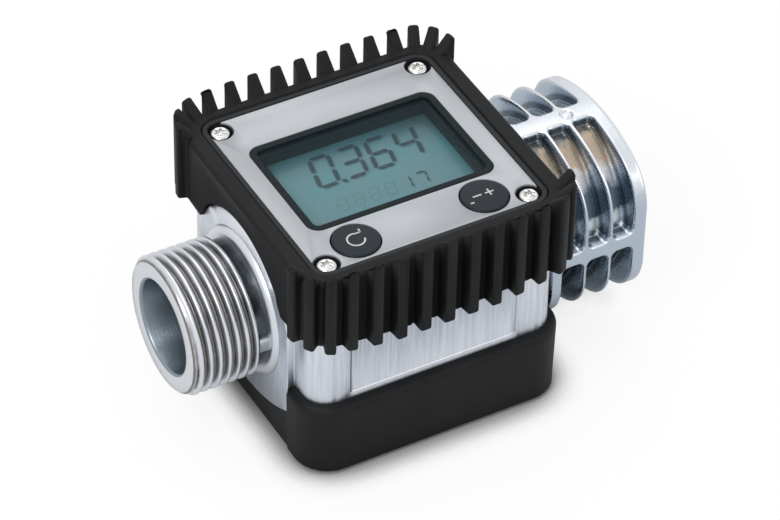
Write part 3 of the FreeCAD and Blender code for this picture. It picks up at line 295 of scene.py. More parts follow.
@dataclass(frozen=True)
class RibbedMetal:
    """Cast aluminium with bright ribs, painted lighter on top than on their sides; its polished pocket floors
    carry painted reflections, light, dark and brownish by turns, with painted shade on the pocket walls and
    inside the socket.
    """

    name: str = "ribbed_aluminium"
    # painted light: the ribs' colour where they face up, then the duller colour of their sides
    painted_light_rib: Colour = (0.68, 0.71, 0.76)
    painted_shade_rib_side: Colour = (0.44, 0.51, 0.59)
    # painted shade on the pocket walls and inside the socket; painted reflection on the pocket floors of the
    # far side
    wall: Colour = (0.16, 0.19, 0.22)
    inside: Colour = (0.30, 0.33, 0.36)
    far: Colour = (0.36, 0.41, 0.46)
    inside_radius: float = 18.0 * MM
    floor: float = 19.45 * MM
    wall_top: float = 22.0 * MM
    span: float = 21.0 * MM
    far_side: float = 2.0 * MM
    grain: float = 0.5 * MM
    grain_depth: float = 0.005 * MM
    wander_size: float = 3.0 * MM
    wander_share: float = 0.11
    # painted reflections: bands of light, dark and brownish colour on the pocket floors, by height
    stops: tuple[tuple[float, Colour], ...] = (
        (0.00, (0.06, 0.07, 0.08)),
        (0.40, (0.10, 0.12, 0.14)),
        (0.46, (0.20, 0.21, 0.22)),
        (0.55, (0.15, 0.15, 0.16)),
        (0.57, (0.68, 0.73, 0.76)),
        (0.63, (0.60, 0.66, 0.70)),
        (0.655, (0.10, 0.14, 0.16)),
        (0.76, (0.13, 0.18, 0.21)),
        (0.80, (0.62, 0.62, 0.64)),
        (0.85, (0.66, 0.62, 0.60)),
        (0.875, (0.50, 0.40, 0.31)),
        (0.935, (0.44, 0.36, 0.28)),
        (0.955, (0.20, 0.20, 0.20)),
        (1.00, (0.10, 0.11, 0.12)),
    )

    def build(self) -> bpy.types.Material:
        """Makes the material."""
        made = Shader(self.name)
        radius = made.axis_radius()
        wander = made.noise(self.wander_size, 3.0, stretch=(0.8, 1.4, 1.4)) - 0.5
        height = made.part("Z") - AXIS_HEIGHT
        level = height / (2.0 * self.span) + 0.5 + self.wander_share * wander
        # painted reflection bands on the pocket floors, by height with some wander
        floor = made.node("ShaderNodeValToRGB", {"stops": self.stops}, {0: level})
        fillet = radius.clipped(self.floor + 0.1 * MM, self.floor + 0.35 * MM)
        wall = radius.clipped(self.floor + 0.4 * MM, self.floor + 0.8 * MM)
        # painted light: the ribs are brighter where they face up
        painted_light_rib = made.mix(made.normal_part("Z").clipped(0.1, 0.75), self.painted_shade_rib_side, self.painted_light_rib)
        # painted reflection: the far side's pocket floors are one plain grey
        floor = made.mix(made.part("Y").clipped(self.far_side, self.far_side + 3.0 * MM), floor, self.far)
        # painted shade: the pocket walls are dark
        sunk = made.mix(wall, made.mix(fillet, floor, painted_light_rib), self.wall)
        fine = made.noise(self.grain, 4.0, roughness=0.6)
        skin = made.mix(radius.clipped(self.wall_top - 0.9 * MM, self.wall_top), sunk, painted_light_rib)
        # painted shade inside the socket
        within = radius.clipped(self.inside_radius - 0.8 * MM, self.inside_radius)
        made.set(
            Base_Color=made.mix(within, self.inside, skin),
            Metallic=1.0,
            Roughness=0.20 + 0.12 * fine.clipped(0.3, 0.7),
            Normal=made.cast_skin(fine, self.grain_depth),
        )
        return made.material


@dataclass(frozen=True)
class TurnedMetal:
    """Machined aluminium: fine turning marks round the flow axis, with painted shade dark in the thread
    roots, the relief groove and the bore.
    """

    name: str = "turned_aluminium"
    colour: Colour = (0.66, 0.69, 0.73)
    # painted shade colours for the thread roots and flanks, the relief groove and the bore
    root: Colour = (0.17, 0.155, 0.15)
    relief: Colour = (0.065, 0.075, 0.083)
    bore: Colour = (0.25, 0.29, 0.325)
    bore_radius: float = 11.9 * MM
    root_radius: float = 15.4 * MM
    crest_radius: float = 16.35 * MM
    flare_start: float = -34.6 * MM
    relief_start: float = -37.1 * MM
    roughness: float = 0.22

    def build(self) -> bpy.types.Material:
        """Makes the material."""
        made = Shader(self.name)
        radius = made.axis_radius()
        raised = radius.clipped(self.root_radius, self.crest_radius)
        on_face = 1.0 - made.normal_part("X").clipped(-0.98, -0.85)
        grooves = made.noise(0.25 * MM, 2.0, stretch=(1.0, 40.0, 40.0))
        stain = made.noise(2.4 * MM, 5.0, stretch=(0.5, 1.5, 1.5), roughness=0.65)
        flare = made.part("X").clipped(self.flare_start, self.flare_start + 0.6 * MM)
        # crests, the face and the flare keep the metal colour; the thread roots and flanks take the painted
        # shade
        lit = raised + on_face + flare + 0.22 * stain.clipped(0.35, 0.7)
        relieved = made.part("X").clipped(self.relief_start, self.relief_start + 0.4 * MM)
        # painted shade: the relief groove is darker than the thread roots
        low = made.mix(relieved, self.root, self.relief)
        outside = made.mix(lit.clipped(0.0, 1.0), low, self.colour)
        # painted shade: the bore is darker
        beyond_bore = radius.clipped(self.bore_radius - 0.4 * MM, self.bore_radius)
        made.set(
            Base_Color=made.mix(beyond_bore, self.bore, outside),
            Metallic=1.0,
            Roughness=self.roughness + 0.2 * stain,
            Normal=made.bump(grooves, 0.02 * MM, under=made.bump(made.noise(0.7 * MM, 3.0), 0.02 * MM)),
        )
        return made.material


@dataclass(frozen=True)
class Rubber:
    """Matt black moulded rubber, with a very fine skin and faint handling marks."""

    name: str = "black_rubber"
    colour: Colour = (0.0065, 0.007, 0.008)
    rubbed: Colour = (0.011, 0.0115, 0.0125)
    roughness: float = 0.46
    skin: float = 0.16 * MM

    def build(self) -> bpy.types.Material:
        """Makes the material."""
        made = Shader(self.name)
        rub = made.noise(14 * MM, 5.0, roughness=0.6)
        skin = made.noise(self.skin, 2.0)
        made.set(
            Base_Color=made.mix(rub.clipped(0.4, 0.75), self.colour, self.rubbed),
            Roughness=self.roughness + 0.14 * rub,
            Specular_IOR_Level=0.17,
            Normal=made.bump(skin, 0.012 * MM),
        )
        return made.material


@dataclass(frozen=True)
class Moulded:
    """Moulded plastic of one colour: fine texture and slightly uneven gloss."""

    name: str
    colour: Colour
    roughness: float = 0.4
    texture: float = 0.12 * MM
    depth: float = 0.008 * MM
    shine: float = 0.4

    def build(self) -> bpy.types.Material:
        """Makes the material."""
        made = Shader(self.name)
        spread = made.noise(11 * MM, 3.0)
        darker = tuple(0.86 * part for part in self.colour)
        made.set(
            Base_Color=made.mix(spread.clipped(0.3, 0.7), darker, self.colour),
            Roughness=self.roughness + 0.1 * spread,
            Specular_IOR_Level=self.shine,
            Normal=made.bump(made.noise(self.texture, 2.0), self.depth),
        )
        return made.material


@dataclass(frozen=True)
class FacePlate:
    """Silver-grey front plate with a soft brushed sheen."""

    name: str = "panel_silver"
    colour: Colour = (0.485, 0.51, 0.54)
    shade: Colour = (0.45, 0.475, 0.505)
    roughness: float = 0.42

    def build(self) -> bpy.types.Material:
        """Makes the material."""
        made = Shader(self.name)
        cloud = made.noise(26 * MM, 2.0)
        brushed = made.noise(0.09 * MM, 3.0, stretch=(30.0, 1.0, 1.0))
        made.set(
            Base_Color=made.mix(cloud.clipped(0.3, 0.7), self.shade, self.colour),
            Metallic=0.25,
            Roughness=self.roughness + 0.08 * brushed,
            Normal=made.bump(brushed, 0.003 * MM),
        )
        return made.material


@dataclass(frozen=True)
class LiquidCrystal:
    """Liquid crystal cell over its reflector: teal, with painted light and shade, lighter in front and dark
    under the window's edge.
    """

    name: str = "display_cell"
    # painted light and shade: the lighter teal in front, the deep teal under the window's edge
    light: Colour = (0.095, 0.30, 0.345)
    deep: Colour = (0.045, 0.105, 0.125)
    grey: Colour = (0.14, 0.275, 0.30)

    def build(self) -> bpy.types.Material:
        """Makes the material."""
        made = Shader(self.name)
        # painted light and shade: lighter in front, darker towards the back and the right, under the window's
        # edge
        depth = made.part("Y").clipped(2 * MM, 17 * MM)
        side = made.part("X").clipped(4 * MM, 30 * MM)
        shade = (depth * 0.75 + side * 0.45).clipped(0.0, 1.15)
        warm = made.mix(made.noise(9 * MM, 1.0).clipped(0.35, 0.75) * 0.5, self.light, self.grey)
        made.set(
            Base_Color=made.mix(shade, warm, self.deep),
            Roughness=0.3,
            Coat_Weight=0.2,
            Coat_Roughness=0.15,
            Normal=made.bump(made.noise(0.1 * MM, 1.0), 0.001 * MM),
        )
        return made.material


@dataclass(frozen=True)
class ClearLens:
    """Clear plastic window that hides little of the display."""

    name: str = "clear_lens"
    clearness: float = 0.93

    def build(self) -> bpy.types.Material:
        """Makes the material."""
        made = Shader(self.name)
        smudge = made.noise(12 * MM, 4.0)
        made.set(
            Base_Color=(0.10, 0.15, 0.16),
            Roughness=0.04 + 0.05 * smudge,
            Alpha=1.0 - self.clearness + 0.03 * smudge,
            Specular_IOR_Level=0.25,
        )
        return made.material


@dataclass(frozen=True)
class SegmentInk:
    """Dark liquid crystal segment, or its paler shadow on the reflector."""

    name: str
    colour: Colour
    opacity: float

    def build(self) -> bpy.types.Material:
        """Makes the material."""
        made = Shader(self.name)
        uneven = made.noise(2.5 * MM, 2.0)
        made.set(Base_Color=self.colour, Roughness=0.45, Alpha=self.opacity * (0.85 + 0.25 * uneven))
        return made.material


@dataclass(frozen=True)
class Metal:
    """Plain metal of a small part, with fine marks and slightly uneven gloss."""

    name: str
    colour: Colour
    roughness: float = 0.25
    marks: float = 0.3 * MM
    depth: float = 0.006 * MM

    def build(self) -> bpy.types.Material:
        """Makes the material."""
        made = Shader(self.name)
        marks = made.noise(self.marks, 4.0, roughness=0.6)
        darker = tuple(0.72 * part for part in self.colour)
        made.set(
            Base_Color=made.mix(marks.clipped(0.25, 0.6), darker, self.colour),
            Metallic=1.0,
            Roughness=self.roughness + 0.12 * marks,
            Normal=made.bump(marks, self.depth),
        )
        return made.material


# ---------------------------------------------------------------- mesh helpers


def piece_from(mesh: bmesh.types.BMesh, name: str) -> bpy.types.Object:
    """Turns a bmesh into an object at the origin, in the scene.

    Args:
        mesh: the finished bmesh, which is freed.
        name: the piece's name.

    Returns:
        The object.
    """
    data = bpy.data.meshes.new(name)
    mesh.to_mesh(data)
    mesh.free()
    made = bpy.data.objects.new(name, data)
    bpy.context.scene.collection.objects.link(made)
    return made


def dress(
    piece: bpy.types.Object,
    material: bpy.types.Material,
    body: str = "meter",
    replaces: Sequence[str] = (),
    smooth: Optional[float] = 35.0,
) -> bpy.types.Object:
    """Gives a new piece its material, its shading and its place in the frame.

    Args:
        piece: the piece, at the origin.
        material: its finish.
        body: the CAD body that it moves with.
        replaces: CAD nodes that it stands for.
        smooth: edges that turn by fewer degrees than this are shaded smooth; None leaves all flat.

    Returns:
        The piece.
    """
    piece.data.materials.clear()
    piece.data.materials.append(material)
    if smooth is not None:
        piece.data.shade_smooth()
        piece.data.set_sharp_from_angle(angle=math.radians(smooth))
    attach(piece, body)
    if replaces:
        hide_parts(*replaces)
    log.info("%s: %d faces", piece.name, len(piece.data.polygons))
    return piece


def merged_copy(node: bpy.types.Object, weld: float = 0.002 * MM, flat: float = 1.0) -> bmesh.types.BMesh:
    """Copies a CAD node's mesh, welds its triangles and joins the flat ones.

    Args:
        node: the CAD node's object.
        weld: vertices nearer than this become one.
        flat: faces that turn by fewer degrees than this become one.

    Returns:
        The copy.
    """
    mesh = bmesh.new()
    mesh.from_mesh(node.data)
    bmesh.ops.remove_doubles(mesh, verts=mesh.verts, dist=weld)
    bmesh.ops.dissolve_degenerate(mesh, edges=mesh.edges, dist=weld)
    bmesh.ops.dissolve_limit(
        mesh, angle_limit=math.radians(flat), verts=mesh.verts, edges=mesh.edges, delimit={"NORMAL"}
    )
    return mesh


def ease_edges(
    mesh: bmesh.types.BMesh,
    width: float,
    sharper: float = 35.0,
    segments: int = 2,
    chosen: Callable[[Vector], bool] = lambda middle: True,
    clamped: bool = True,
) -> None:
    """Rounds the sharp edges of a mesh.

    Args:
        mesh: the mesh to change.
        width: how far the rounding reaches from the edge.
        sharper: only edges that turn by more degrees than this are rounded.
        segments: how many faces go round the edge.
        chosen: says by an edge's middle whether it is rounded.
        clamped: whether short neighbours limit the rounding.
    """
    limit = math.radians(sharper)
    edges = [
        edge
        for edge in mesh.edges
        if len(edge.link_faces) == 2
        and edge.calc_face_angle() > limit
        and chosen((edge.verts[0].co + edge.verts[1].co) / 2)
    ]
    bmesh.ops.bevel(
        mesh,
        geom=edges,
        offset=width,
        offset_type="OFFSET",
        segments=segments,
        profile=0.5,
        affect="EDGES",
        clamp_overlap=clamped,
        material=-1,
    )
    bmesh.ops.triangulate(mesh, faces=[face for face in mesh.faces if len(face.verts) > 4])


def spin_line(
    mesh: bmesh.types.BMesh, points: Iterable[Vector], centre: Vector, axis: Vector, steps: int, closed: bool
) -> None:
    """Adds a line's surface of revolution to a mesh.

    Args:
        mesh: the mesh that it joins.
        points: the line's points.
        centre: a point on the axis.
        axis: the axis' direction.
        steps: how many faces go round.
        closed: whether the last point joins the first.
    """
    line = [mesh.verts.new(point) for point in points]
    pairs = list(zip(line, line[1:])) + ([(line[-1], line[0])] if closed else [])
    edges = [mesh.edges.new(pair) for pair in pairs]
    before = set(mesh.verts)
    spin = dict(cent=centre, axis=axis, angle=math.tau, steps=steps, use_merge=True, use_duplicate=False)
    bmesh.ops.spin(mesh, geom=line + edges, **spin)
    made = line + [vert for vert in mesh.verts if vert not in before]
    bmesh.ops.remove_doubles(mesh, verts=made, dist=0.001 * MM)


def spun(profile: Sequence[tuple[float, float]], steps: int) -> bmesh.types.BMesh:
    """Spins a closed profile round the flow axis.

    Args:
        profile: points as distance along the flow axis and radius.
        steps: how many faces go round.

    Returns:
        The spun mesh, with its faces outwards.
    """
    mesh = bmesh.new()
    points = (Vector((x, 0.0, AXIS_HEIGHT + radius)) for x, radius in profile)
    spin_line(mesh, points, Vector((0.0, 0.0, AXIS_HEIGHT)), FLOW, steps, closed=True)
    bmesh.ops.recalc_face_normals(mesh, faces=mesh.faces)
    return mesh


def steps_between(start: float, end: float, step: float) -> list[float]:
    """Even places from start to end, both included, at most a step apart."""
    count = max(1, math.ceil(abs(end - start) / step))
    return [start + (end - start) * index / count for index in range(count + 1)]


def smooth_step(value: float) -> float:
    """A step from 0 to 1 with soft ends."""
    clipped = min(max(value, 0.0), 1.0)
    return clipped * clipped * (3.0 - 2.0 * clipped)


def radial(place: Vector) -> tuple[float, float]:
    """Radius about the flow axis, and the angle from straight up towards +Y."""
    return math.hypot(place.y, place.z - AXIS_HEIGHT), math.atan2(place.y, place.z - AXIS_HEIGHT)


def set_radius(vert: bmesh.types.BMVert, radius: float) -> None:
    """Moves a vertex in or out from the flow axis."""
    now, _ = radial(vert.co)
    vert.co.y *= radius / now
    vert.co.z = AXIS_HEIGHT + (vert.co.z - AXIS_HEIGHT) * radius / now


# ---------------------------------------------------------------- the cast body


@dataclass
class Thread:
    """A parallel pipe thread's form."""

    pitch: float = 2.309 * MM
    depth: float = 1.40 * MM
    crest_share: float = 0.40

    def height(self, x: float, angle: float) -> float:
        """How high the thread stands above its root, from 0 to its depth.

        Args:
            x: place along the flow axis.
            angle: angle round the flow axis.

        Returns:
            The height.
        """
        phase = (x / self.pitch + angle / math.tau) % 1.0
        from_crest = abs(phase - 0.5) * 2.0
        flank = (from_crest - self.crest_share * 0.5) / (1.0 - self.crest_share)
        return self.depth * (1.0 - smooth_step(flank))


@dataclass
class InletNipple:
    """The male threaded inlet, from the end plate to its machined face."""

    plate: float
    face: float
    major: float
    bore: float
    thread: Thread = field(default_factory=Thread)
    chamfer: float = 1.3 * MM
    bore_chamfer: float = 0.7 * MM
    flare: float = 17.9 * MM
    flare_length: float = 1.3 * MM
    relief: float = 15.0 * MM
    relief_length: float = 2.6 * MM
    land: float = 16.1 * MM
    land_height: float = 4.2 * MM
    land_blend: float = 0.8 * MM
    first_row: float = 0.25 * MM
    run_in: float = 1.2 * MM
    run_out: float = 0.5 * MM
    cone_slope: float = 1.1
    apart: float = 0.05 * MM
    steps: int = 180
    row: float = 0.19 * MM

    @property
    def flare_end(self) -> float:
        """Where the flare meets the relief groove."""
        return self.plate - self.flare_length

    @property
    def thread_start(self) -> float:
        """Where the relief groove meets the thread."""
        return self.flare_end - self.relief_length

    def build(self) -> bpy.types.Object:
        """Makes the nipple's mesh.

        Returns:
            The piece, undressed.
        """
        outer = [
            (self.plate, self.flare),
            (self.plate - 0.45 * self.flare_length, self.flare - 0.25 * MM),
            (self.flare_end + 0.12 * MM, self.relief + 1.7 * MM),
            (self.flare_end, self.relief + 1.3 * MM),
        ]
        groove = steps_between(self.flare_end - self.apart, self.thread_start + self.apart, self.row)
        turns = steps_between(self.thread_start, self.face + self.first_row, self.row)
        relief = [(x, self.relief) for x in groove]
        threaded = [(x, self.major) for x in turns]
        mouth = [
            (self.face, self.major - self.chamfer),
            (self.face, self.bore + self.bore_chamfer),
            (self.face + self.bore_chamfer * 0.4, self.bore + 0.2 * MM),
            (self.face + self.bore_chamfer, self.bore),
            (self.plate, self.bore),
        ]
        mesh = spun(outer + relief + threaded + mouth, self.steps)
        for vert in mesh.verts:
            radius, angle = radial(vert.co)
            if radius < self.relief - 0.1 * MM:
                continue
            if vert.co.x <= self.thread_start + 0.01 * MM and radius > self.major - self.apart:
                set_radius(vert, self._thread_radius(vert.co.x, angle))
            elif radius < self.relief + 0.1 * MM:
                set_radius(vert, self._relief_radius(vert.co))
        bmesh.ops.recalc_face_normals(mesh, faces=mesh.faces)
        return piece_from(mesh, "inlet_nipple")

    def _thread_radius(self, x: float, angle: float) -> float:
        """Radius of the threaded surface at a place.

        Args:
            x: place along the flow axis.
            angle: angle round it.

        Returns:
            The radius, within the chamfer at the face.
        """
        root = self.major - self.thread.depth
        run_in = smooth_step((x - self.face - 0.3 * MM) / self.run_in)
        cone = self.major - self.chamfer + (x - self.face) * self.cone_slope
        run_out = smooth_step((self.thread_start - x) / self.run_out)
        full = root + self.thread.height(x, angle) * (0.35 + 0.65 * run_out)
        return min(full * run_in + (1.0 - run_in) * cone, max(cone, root))

    def _relief_radius(self, place: Vector) -> float:
        """Radius of the relief groove, which a cast land bridges on both sides."""
        beyond = abs(place.z - AXIS_HEIGHT) - self.land_height / 2
        across = 1.0 - smooth_step(beyond / self.land_blend + 0.5)
        return self.relief + (self.land - self.relief) * across


@dataclass
class OutletSection:
    """The outlet's outside: flat sides, shallow arcs above and below, and round corners."""

    half_width: float = 23.4 * MM
    half_height: float = 22.3 * MM
    half_flat: float = 7.5 * MM
    half_crown: float = 16.0 * MM
    crown: float = 39.3 * MM
    corner: float = 12.47 * MM

    def radius(self, angle: float) -> float:
        """Distance from the flow axis to the outside.

        Args:
            angle: angle from straight up.

        Returns:
            The distance.
        """
        out = Vector((abs(math.sin(angle)), abs(math.cos(angle))))
        shoulder = self.half_height - self.crown + math.sqrt(self.crown**2 - self.half_crown**2)
        if out.x * shoulder < out.y * self.half_crown:
            return self._to_circle(out, Vector((0.0, self.half_height - self.crown)), self.crown)
        if out.x * self.half_flat < out.y * self.half_width:
            return self._to_circle(out, Vector((self.half_width - self.corner, self.half_flat)), self.corner)
        return self.half_width / out.x

    def _to_circle(self, out: Vector, centre: Vector, radius: float) -> float:
        """Where a line from the axis leaves a circle."""
        middle = out.dot(centre)
        return middle + math.sqrt(max(middle**2 - centre.length_squared + radius**2, 0.0))


@dataclass
class RibbedOutlet:
    """The female threaded outlet, with pockets between its cast ribs."""

    plate: float
    face: float
    neck: float
    start: float
    bore: float
    socket: float
    thread: Thread = field(default_factory=Thread)
    section: OutletSection = field(default_factory=OutletSection)
    socket_depth: float = 17.5 * MM
    lead: float = 1.6 * MM
    lead_in: float = 1.5 * MM
    cone: float = 2.4 * MM
    near_edge: float = 0.5 * MM
    edge: float = 1.0 * MM
    floor: float = 19.3 * MM
    first_pocket: float = 39.8 * MM
    pocket_width: float = 5.5 * MM
    pocket_pitch: float = 6.55 * MM
    pocket_count: int = 3
    pocket_corner: float = 1.6 * MM
    wall_slope: float = 0.62 * MM
    lip: float = 0.45 * MM
    spine: float = 5.0 * MM
    web: float = 3.8 * MM
    mark_x: float = 50.5 * MM
    mark_radius: float = 1.35 * MM
    mark_line: float = 0.34 * MM
    mark_depth: float = 0.50 * MM
    steps: int = 480
    row: float = 0.2 * MM

    def build(self) -> bpy.types.Object:
        """Makes the outlet's mesh.

        Returns:
            The piece, undressed.
        """
        neck = [(self.plate, self.neck), (self.start - 0.05 * MM, self.neck)]
        full = self.section.half_width
        corner = [(self.start, full - self.near_edge), (self.start + 0.15 * MM, full - 0.15 * MM)]
        length = steps_between(self.start + self.near_edge, self.face - self.edge, self.row)
        ribbed = [(x, full) for x in length]
        rim = [
            (self.face - self.edge * (1.0 - math.sin(turn)), full - self.edge * (1.0 - math.cos(turn)))
            for turn in [math.radians(step) for step in (18, 36, 54, 72, 90)]
        ]
        lead = self.socket + self.lead
        inside = self.face - self.socket_depth
        mouth = [(self.face, lead + 0.2 * MM), (self.face - 0.15 * MM, lead)]
        threaded = [(x, self.socket) for x in steps_between(self.face - self.lead, inside, self.row)]
        throat = [(inside - self.cone, self.bore), (self.plate, self.bore)]
        mesh = spun(neck + corner + ribbed + rim + mouth + threaded + throat, self.steps)
        for vert in mesh.verts:
            radius, angle = radial(vert.co)
            if radius > self.neck + 0.5 * MM:
                set_radius(vert, self._outer_radius(vert.co.x, angle, full - radius))
            elif abs(radius - self.socket) < 0.05 * MM:
                lead_in = smooth_step((self.face - 1.2 * MM - vert.co.x) / self.lead_in)
                set_radius(vert, self.socket + self.thread.height(vert.co.x, angle) * lead_in)
        bmesh.ops.recalc_face_normals(mesh, faces=mesh.faces)
        return piece_from(mesh, "ribbed_outlet")

    def _outer_radius(self, x: float, angle: float, eased: float) -> float:
        """Radius of the outside, with its rounded end, the pockets and the mould's round mark."""
        outside = self.section.radius(angle)
        return outside - eased - self._pocket_depth(x, angle, outside) - self._mark_depth(x, angle, outside)

    def _pocket_depth(self, x: float, angle: float, outside: float) -> float:
        """How deep the pockets reach at a place.

        Args:
            x: place along the flow axis.
            angle: angle from straight up.
            outside: the outside's radius there.

        Returns:
            The depth, 0 on the ribs.
        """
        quadrant = abs(angle) % math.pi
        quadrant = min(quadrant, math.pi - quadrant)
        row = round((x - self.first_pocket) / self.pocket_pitch)
        row = min(max(row, 0), self.pocket_count - 1)
        along = abs(x - self.first_pocket - row * self.pocket_pitch) - self.pocket_width / 2
        from_spine = self.spine / 2 - outside * math.sin(quadrant)
        from_web = self.web / 2 - outside * math.cos(quadrant)
        around = max(from_spine, from_web)
        inner = Vector((max(along + self.pocket_corner, 0.0), max(around + self.pocket_corner, 0.0)))
        outward = min(max(along, around) + self.pocket_corner, 0.0)
        inwards = self.pocket_corner - inner.length - outward
        depth = outside - self.floor
        rounded = smooth_step((inwards + self.lip) / (self.wall_slope + self.lip))
        return depth * rounded * rounded

    def _mark_depth(self, x: float, angle: float, outside: float) -> float:
        """Depth of the round mark that the mould leaves on the top spine."""
        if abs(angle) > math.pi / 4:
            return 0.0
        away = abs(math.hypot(x - self.mark_x, outside * math.sin(angle)) - self.mark_radius)
        return self.mark_depth * (1.0 - smooth_step(away / self.mark_line))


@dataclass
class CastBody:
    """The cast body: the block with its end plates, the inlet and the outlet."""

    node: bpy.types.Object
    inlet: InletNipple
    outlet: RibbedOutlet
    plate: float
    edge: float = 0.35 * MM
    flow_tube: float = 21.5 * MM
    lowest: float = 6.0 * MM
    highest: float = 45.0 * MM

    def build(self) -> None:
        """Makes and dresses the three pieces."""
        dress(self._block(), CastMetal().build(), replaces=["body_casting"])
        dress(self.inlet.build(), TurnedMetal().build(), smooth=60.0)
        dress(self.outlet.build(), RibbedMetal().build(), smooth=60.0)

    def _block(self) -> bpy.types.Object:
        """Cuts the nipple and the outlet off a copy of the casting and rounds its edges.

        Returns:
            The block, undressed.
        """
        mesh = merged_copy(self.node)
        for side in (-1.0, 1.0):
            cut = bmesh.ops.bisect_plane(
                mesh,
                geom=mesh.verts[:] + mesh.edges[:] + mesh.faces[:],
                dist=0.001 * MM,
                plane_co=(side * self.plate, 0.0, 0.0),
                plane_no=(side, 0.0, 0.0),
                clear_outer=True,
            )
            rim = [item for item in cut["geom_cut"] if isinstance(item, bmesh.types.BMEdge)]
            bmesh.ops.bridge_loops(mesh, edges=rim)
        ease_edges(mesh, self.edge, chosen=self._is_outside, clamped=False)
        return piece_from(mesh, "cast_block")

    def _is_outside(self, middle: Vector) -> bool:
        """Whether an edge is on the outside of the block, where it shows."""
        radius, _ = radial(middle)
        return radius > self.flow_tube and self.lowest < middle.z < self.highest


# ---------------------------------------------------------------- covers, guard and foot


@dataclass
class EasedPart:
    """A moulded part that keeps its CAD shape, with its edges rounded."""

    node: bpy.types.Object
    name: str
    slot: str
    width: float
    segments: int = 2
    sharper: float = 35.0
    body: str = "meter"

    def build(self, material: bpy.types.Material) -> bpy.types.Object:
        """Makes and dresses the part.

        Args:
            material: its finish.

        Returns:
            The piece.
        """
        mesh = merged_copy(self.node)
        self.ease(mesh)
        piece = piece_from(mesh, self.name)
        return dress(piece, material, self.body, [self.node.name], smooth=50.0)

    def ease(self, mesh: bmesh.types.BMesh) -> None:
        """Rounds the part's edges."""
        ease_edges(mesh, self.width, self.sharper, self.segments)


@dataclass
class FinnedGuard(EasedPart):
    """The rubber guard, whose fins end in a wide round."""

    fin_round: float = 0.68 * MM
    fin_sharper: float = 50.0
    fin_segments: int = 3
    fin_height: float = 3.9 * MM
    root: float = 0.45 * MM
    corner: float = 7.0 * MM
    skirt: float = 5.3 * MM
    drop: float = 1.3 * MM

    def ease(self, mesh: bmesh.types.BMesh) -> None:
        """Lowers the fins' feet, then rounds the fins' edges wide and the wall's edges fine."""
        low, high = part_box(self.node.name)
        for vert in mesh.verts:
            if vert.co.z < low.z + self.skirt:
                vert.co.z -= self.drop
        ease_edges(mesh, self.fin_round, self.fin_sharper, self.fin_segments, self._is_fin, clamped=False)
        ease_edges(mesh, self.width, self.sharper, self.segments)
        for vert in mesh.verts:
            vert.co.z = min(vert.co.z, high.z)

    def _is_fin(self, middle: Vector) -> bool:
        """Whether an edge stands out from the guard's wall."""
        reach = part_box(self.node.name)[1].y
        wall = reach - self.fin_height
        if abs(middle.y) > wall + self.root and abs(middle.x) < wall - self.corner:
            return True
        centre = wall - self.corner
        outwards = Vector((abs(middle.x) - centre, abs(middle.y) - centre))
        return min(outwards) > 0.0 and outwards.length > self.corner + self.root


# ---------------------------------------------------------------- the display head


@dataclass
class CoverScrews:
    """Four pan-head screws with six-lobe recesses."""

    centres: Sequence[Vector]
    seat: float
    top: float
    radius: float
    low: float
    shank: float
    recess: float = 1.42 * MM
    recess_depth: float = 1.1 * MM
    lobe: float = 0.17
    steps: int = 72

    def build(self, material: bpy.types.Material) -> bpy.types.Object:
        """Makes and dresses the screws.

        Args:
            material: their finish.

        Returns:
            The four screws as one piece.
        """
        mesh = bmesh.new()
        for centre in self.centres:
            self._one(mesh, centre)
        bmesh.ops.recalc_face_normals(mesh, faces=mesh.faces)
        piece = piece_from(mesh, "six_lobe_screws")
        return dress(piece, material, replaces=["cover_screws"], smooth=40.0)

    def _one(self, mesh: bmesh.types.BMesh, centre: Vector) -> None:
        """Adds one screw.

        Args:
            mesh: the mesh that it joins.
            centre: its centre line.
        """
        profile = [
            (0.0, self.low),
            (self.shank - 0.3 * MM, self.low),
            (self.shank, self.low + 0.4 * MM),
            (self.shank, self.seat),
            (self.radius - 0.1 * MM, self.seat),
            (self.radius, self.seat + 0.1 * MM),
            (self.radius, self.top - 0.75 * MM),
            (self.radius * 0.975, self.top - 0.50 * MM),
            (self.radius * 0.90, self.top - 0.28 * MM),
            (self.radius * 0.78, self.top - 0.12 * MM),
            (self.radius * 0.66, self.top - 0.04 * MM),
            (self.recess * 1.10, self.top),
            (self.recess, self.top - 0.08 * MM),
            (self.recess * 0.95, self.top - self.recess_depth),
            (0.0, self.top - self.recess_depth - 0.25 * MM),
        ]
        points = (centre + Vector((radius, 0.0, height)) for radius, height in profile)
        spin_line(mesh, points, centre, UP, self.steps, closed=False)
        for vert in mesh.verts:
            offset = vert.co.xy - centre.xy
            if vert.co.z > self.seat and 0.1 * MM < offset.length < self.recess * 1.05:
                turn = math.atan2(offset.y, offset.x)
                vert.co.xy = centre.xy + offset * (1.0 - self.lobe + self.lobe * math.cos(6 * turn))


class Segment(Enum):
    """The seven bars of a digit: their middles as shares of its width and height, and whether they stand."""

    TOP = (0.0, 1.0, False)
    MIDDLE = (0.0, 0.5, False)
    BOTTOM = (0.0, 0.0, False)
    UPPER_LEFT = (-0.5, 0.75, True)
    UPPER_RIGHT = (0.5, 0.75, True)
    LOWER_LEFT = (-0.5, 0.25, True)
    LOWER_RIGHT = (0.5, 0.25, True)


LEFT = (Segment.UPPER_LEFT, Segment.LOWER_LEFT)
RIGHT = (Segment.UPPER_RIGHT, Segment.LOWER_RIGHT)
DIGITS = {
    "0": (Segment.TOP, Segment.BOTTOM, *LEFT, *RIGHT),
    "1": RIGHT,
    "3": (Segment.TOP, Segment.MIDDLE, Segment.BOTTOM, *RIGHT),
    "4": (Segment.MIDDLE, Segment.UPPER_LEFT, *RIGHT),
    "6": (Segment.TOP, Segment.MIDDLE, Segment.BOTTOM, *LEFT, Segment.LOWER_RIGHT),
    "7": (Segment.TOP, *RIGHT),
    "8": tuple(Segment),
}


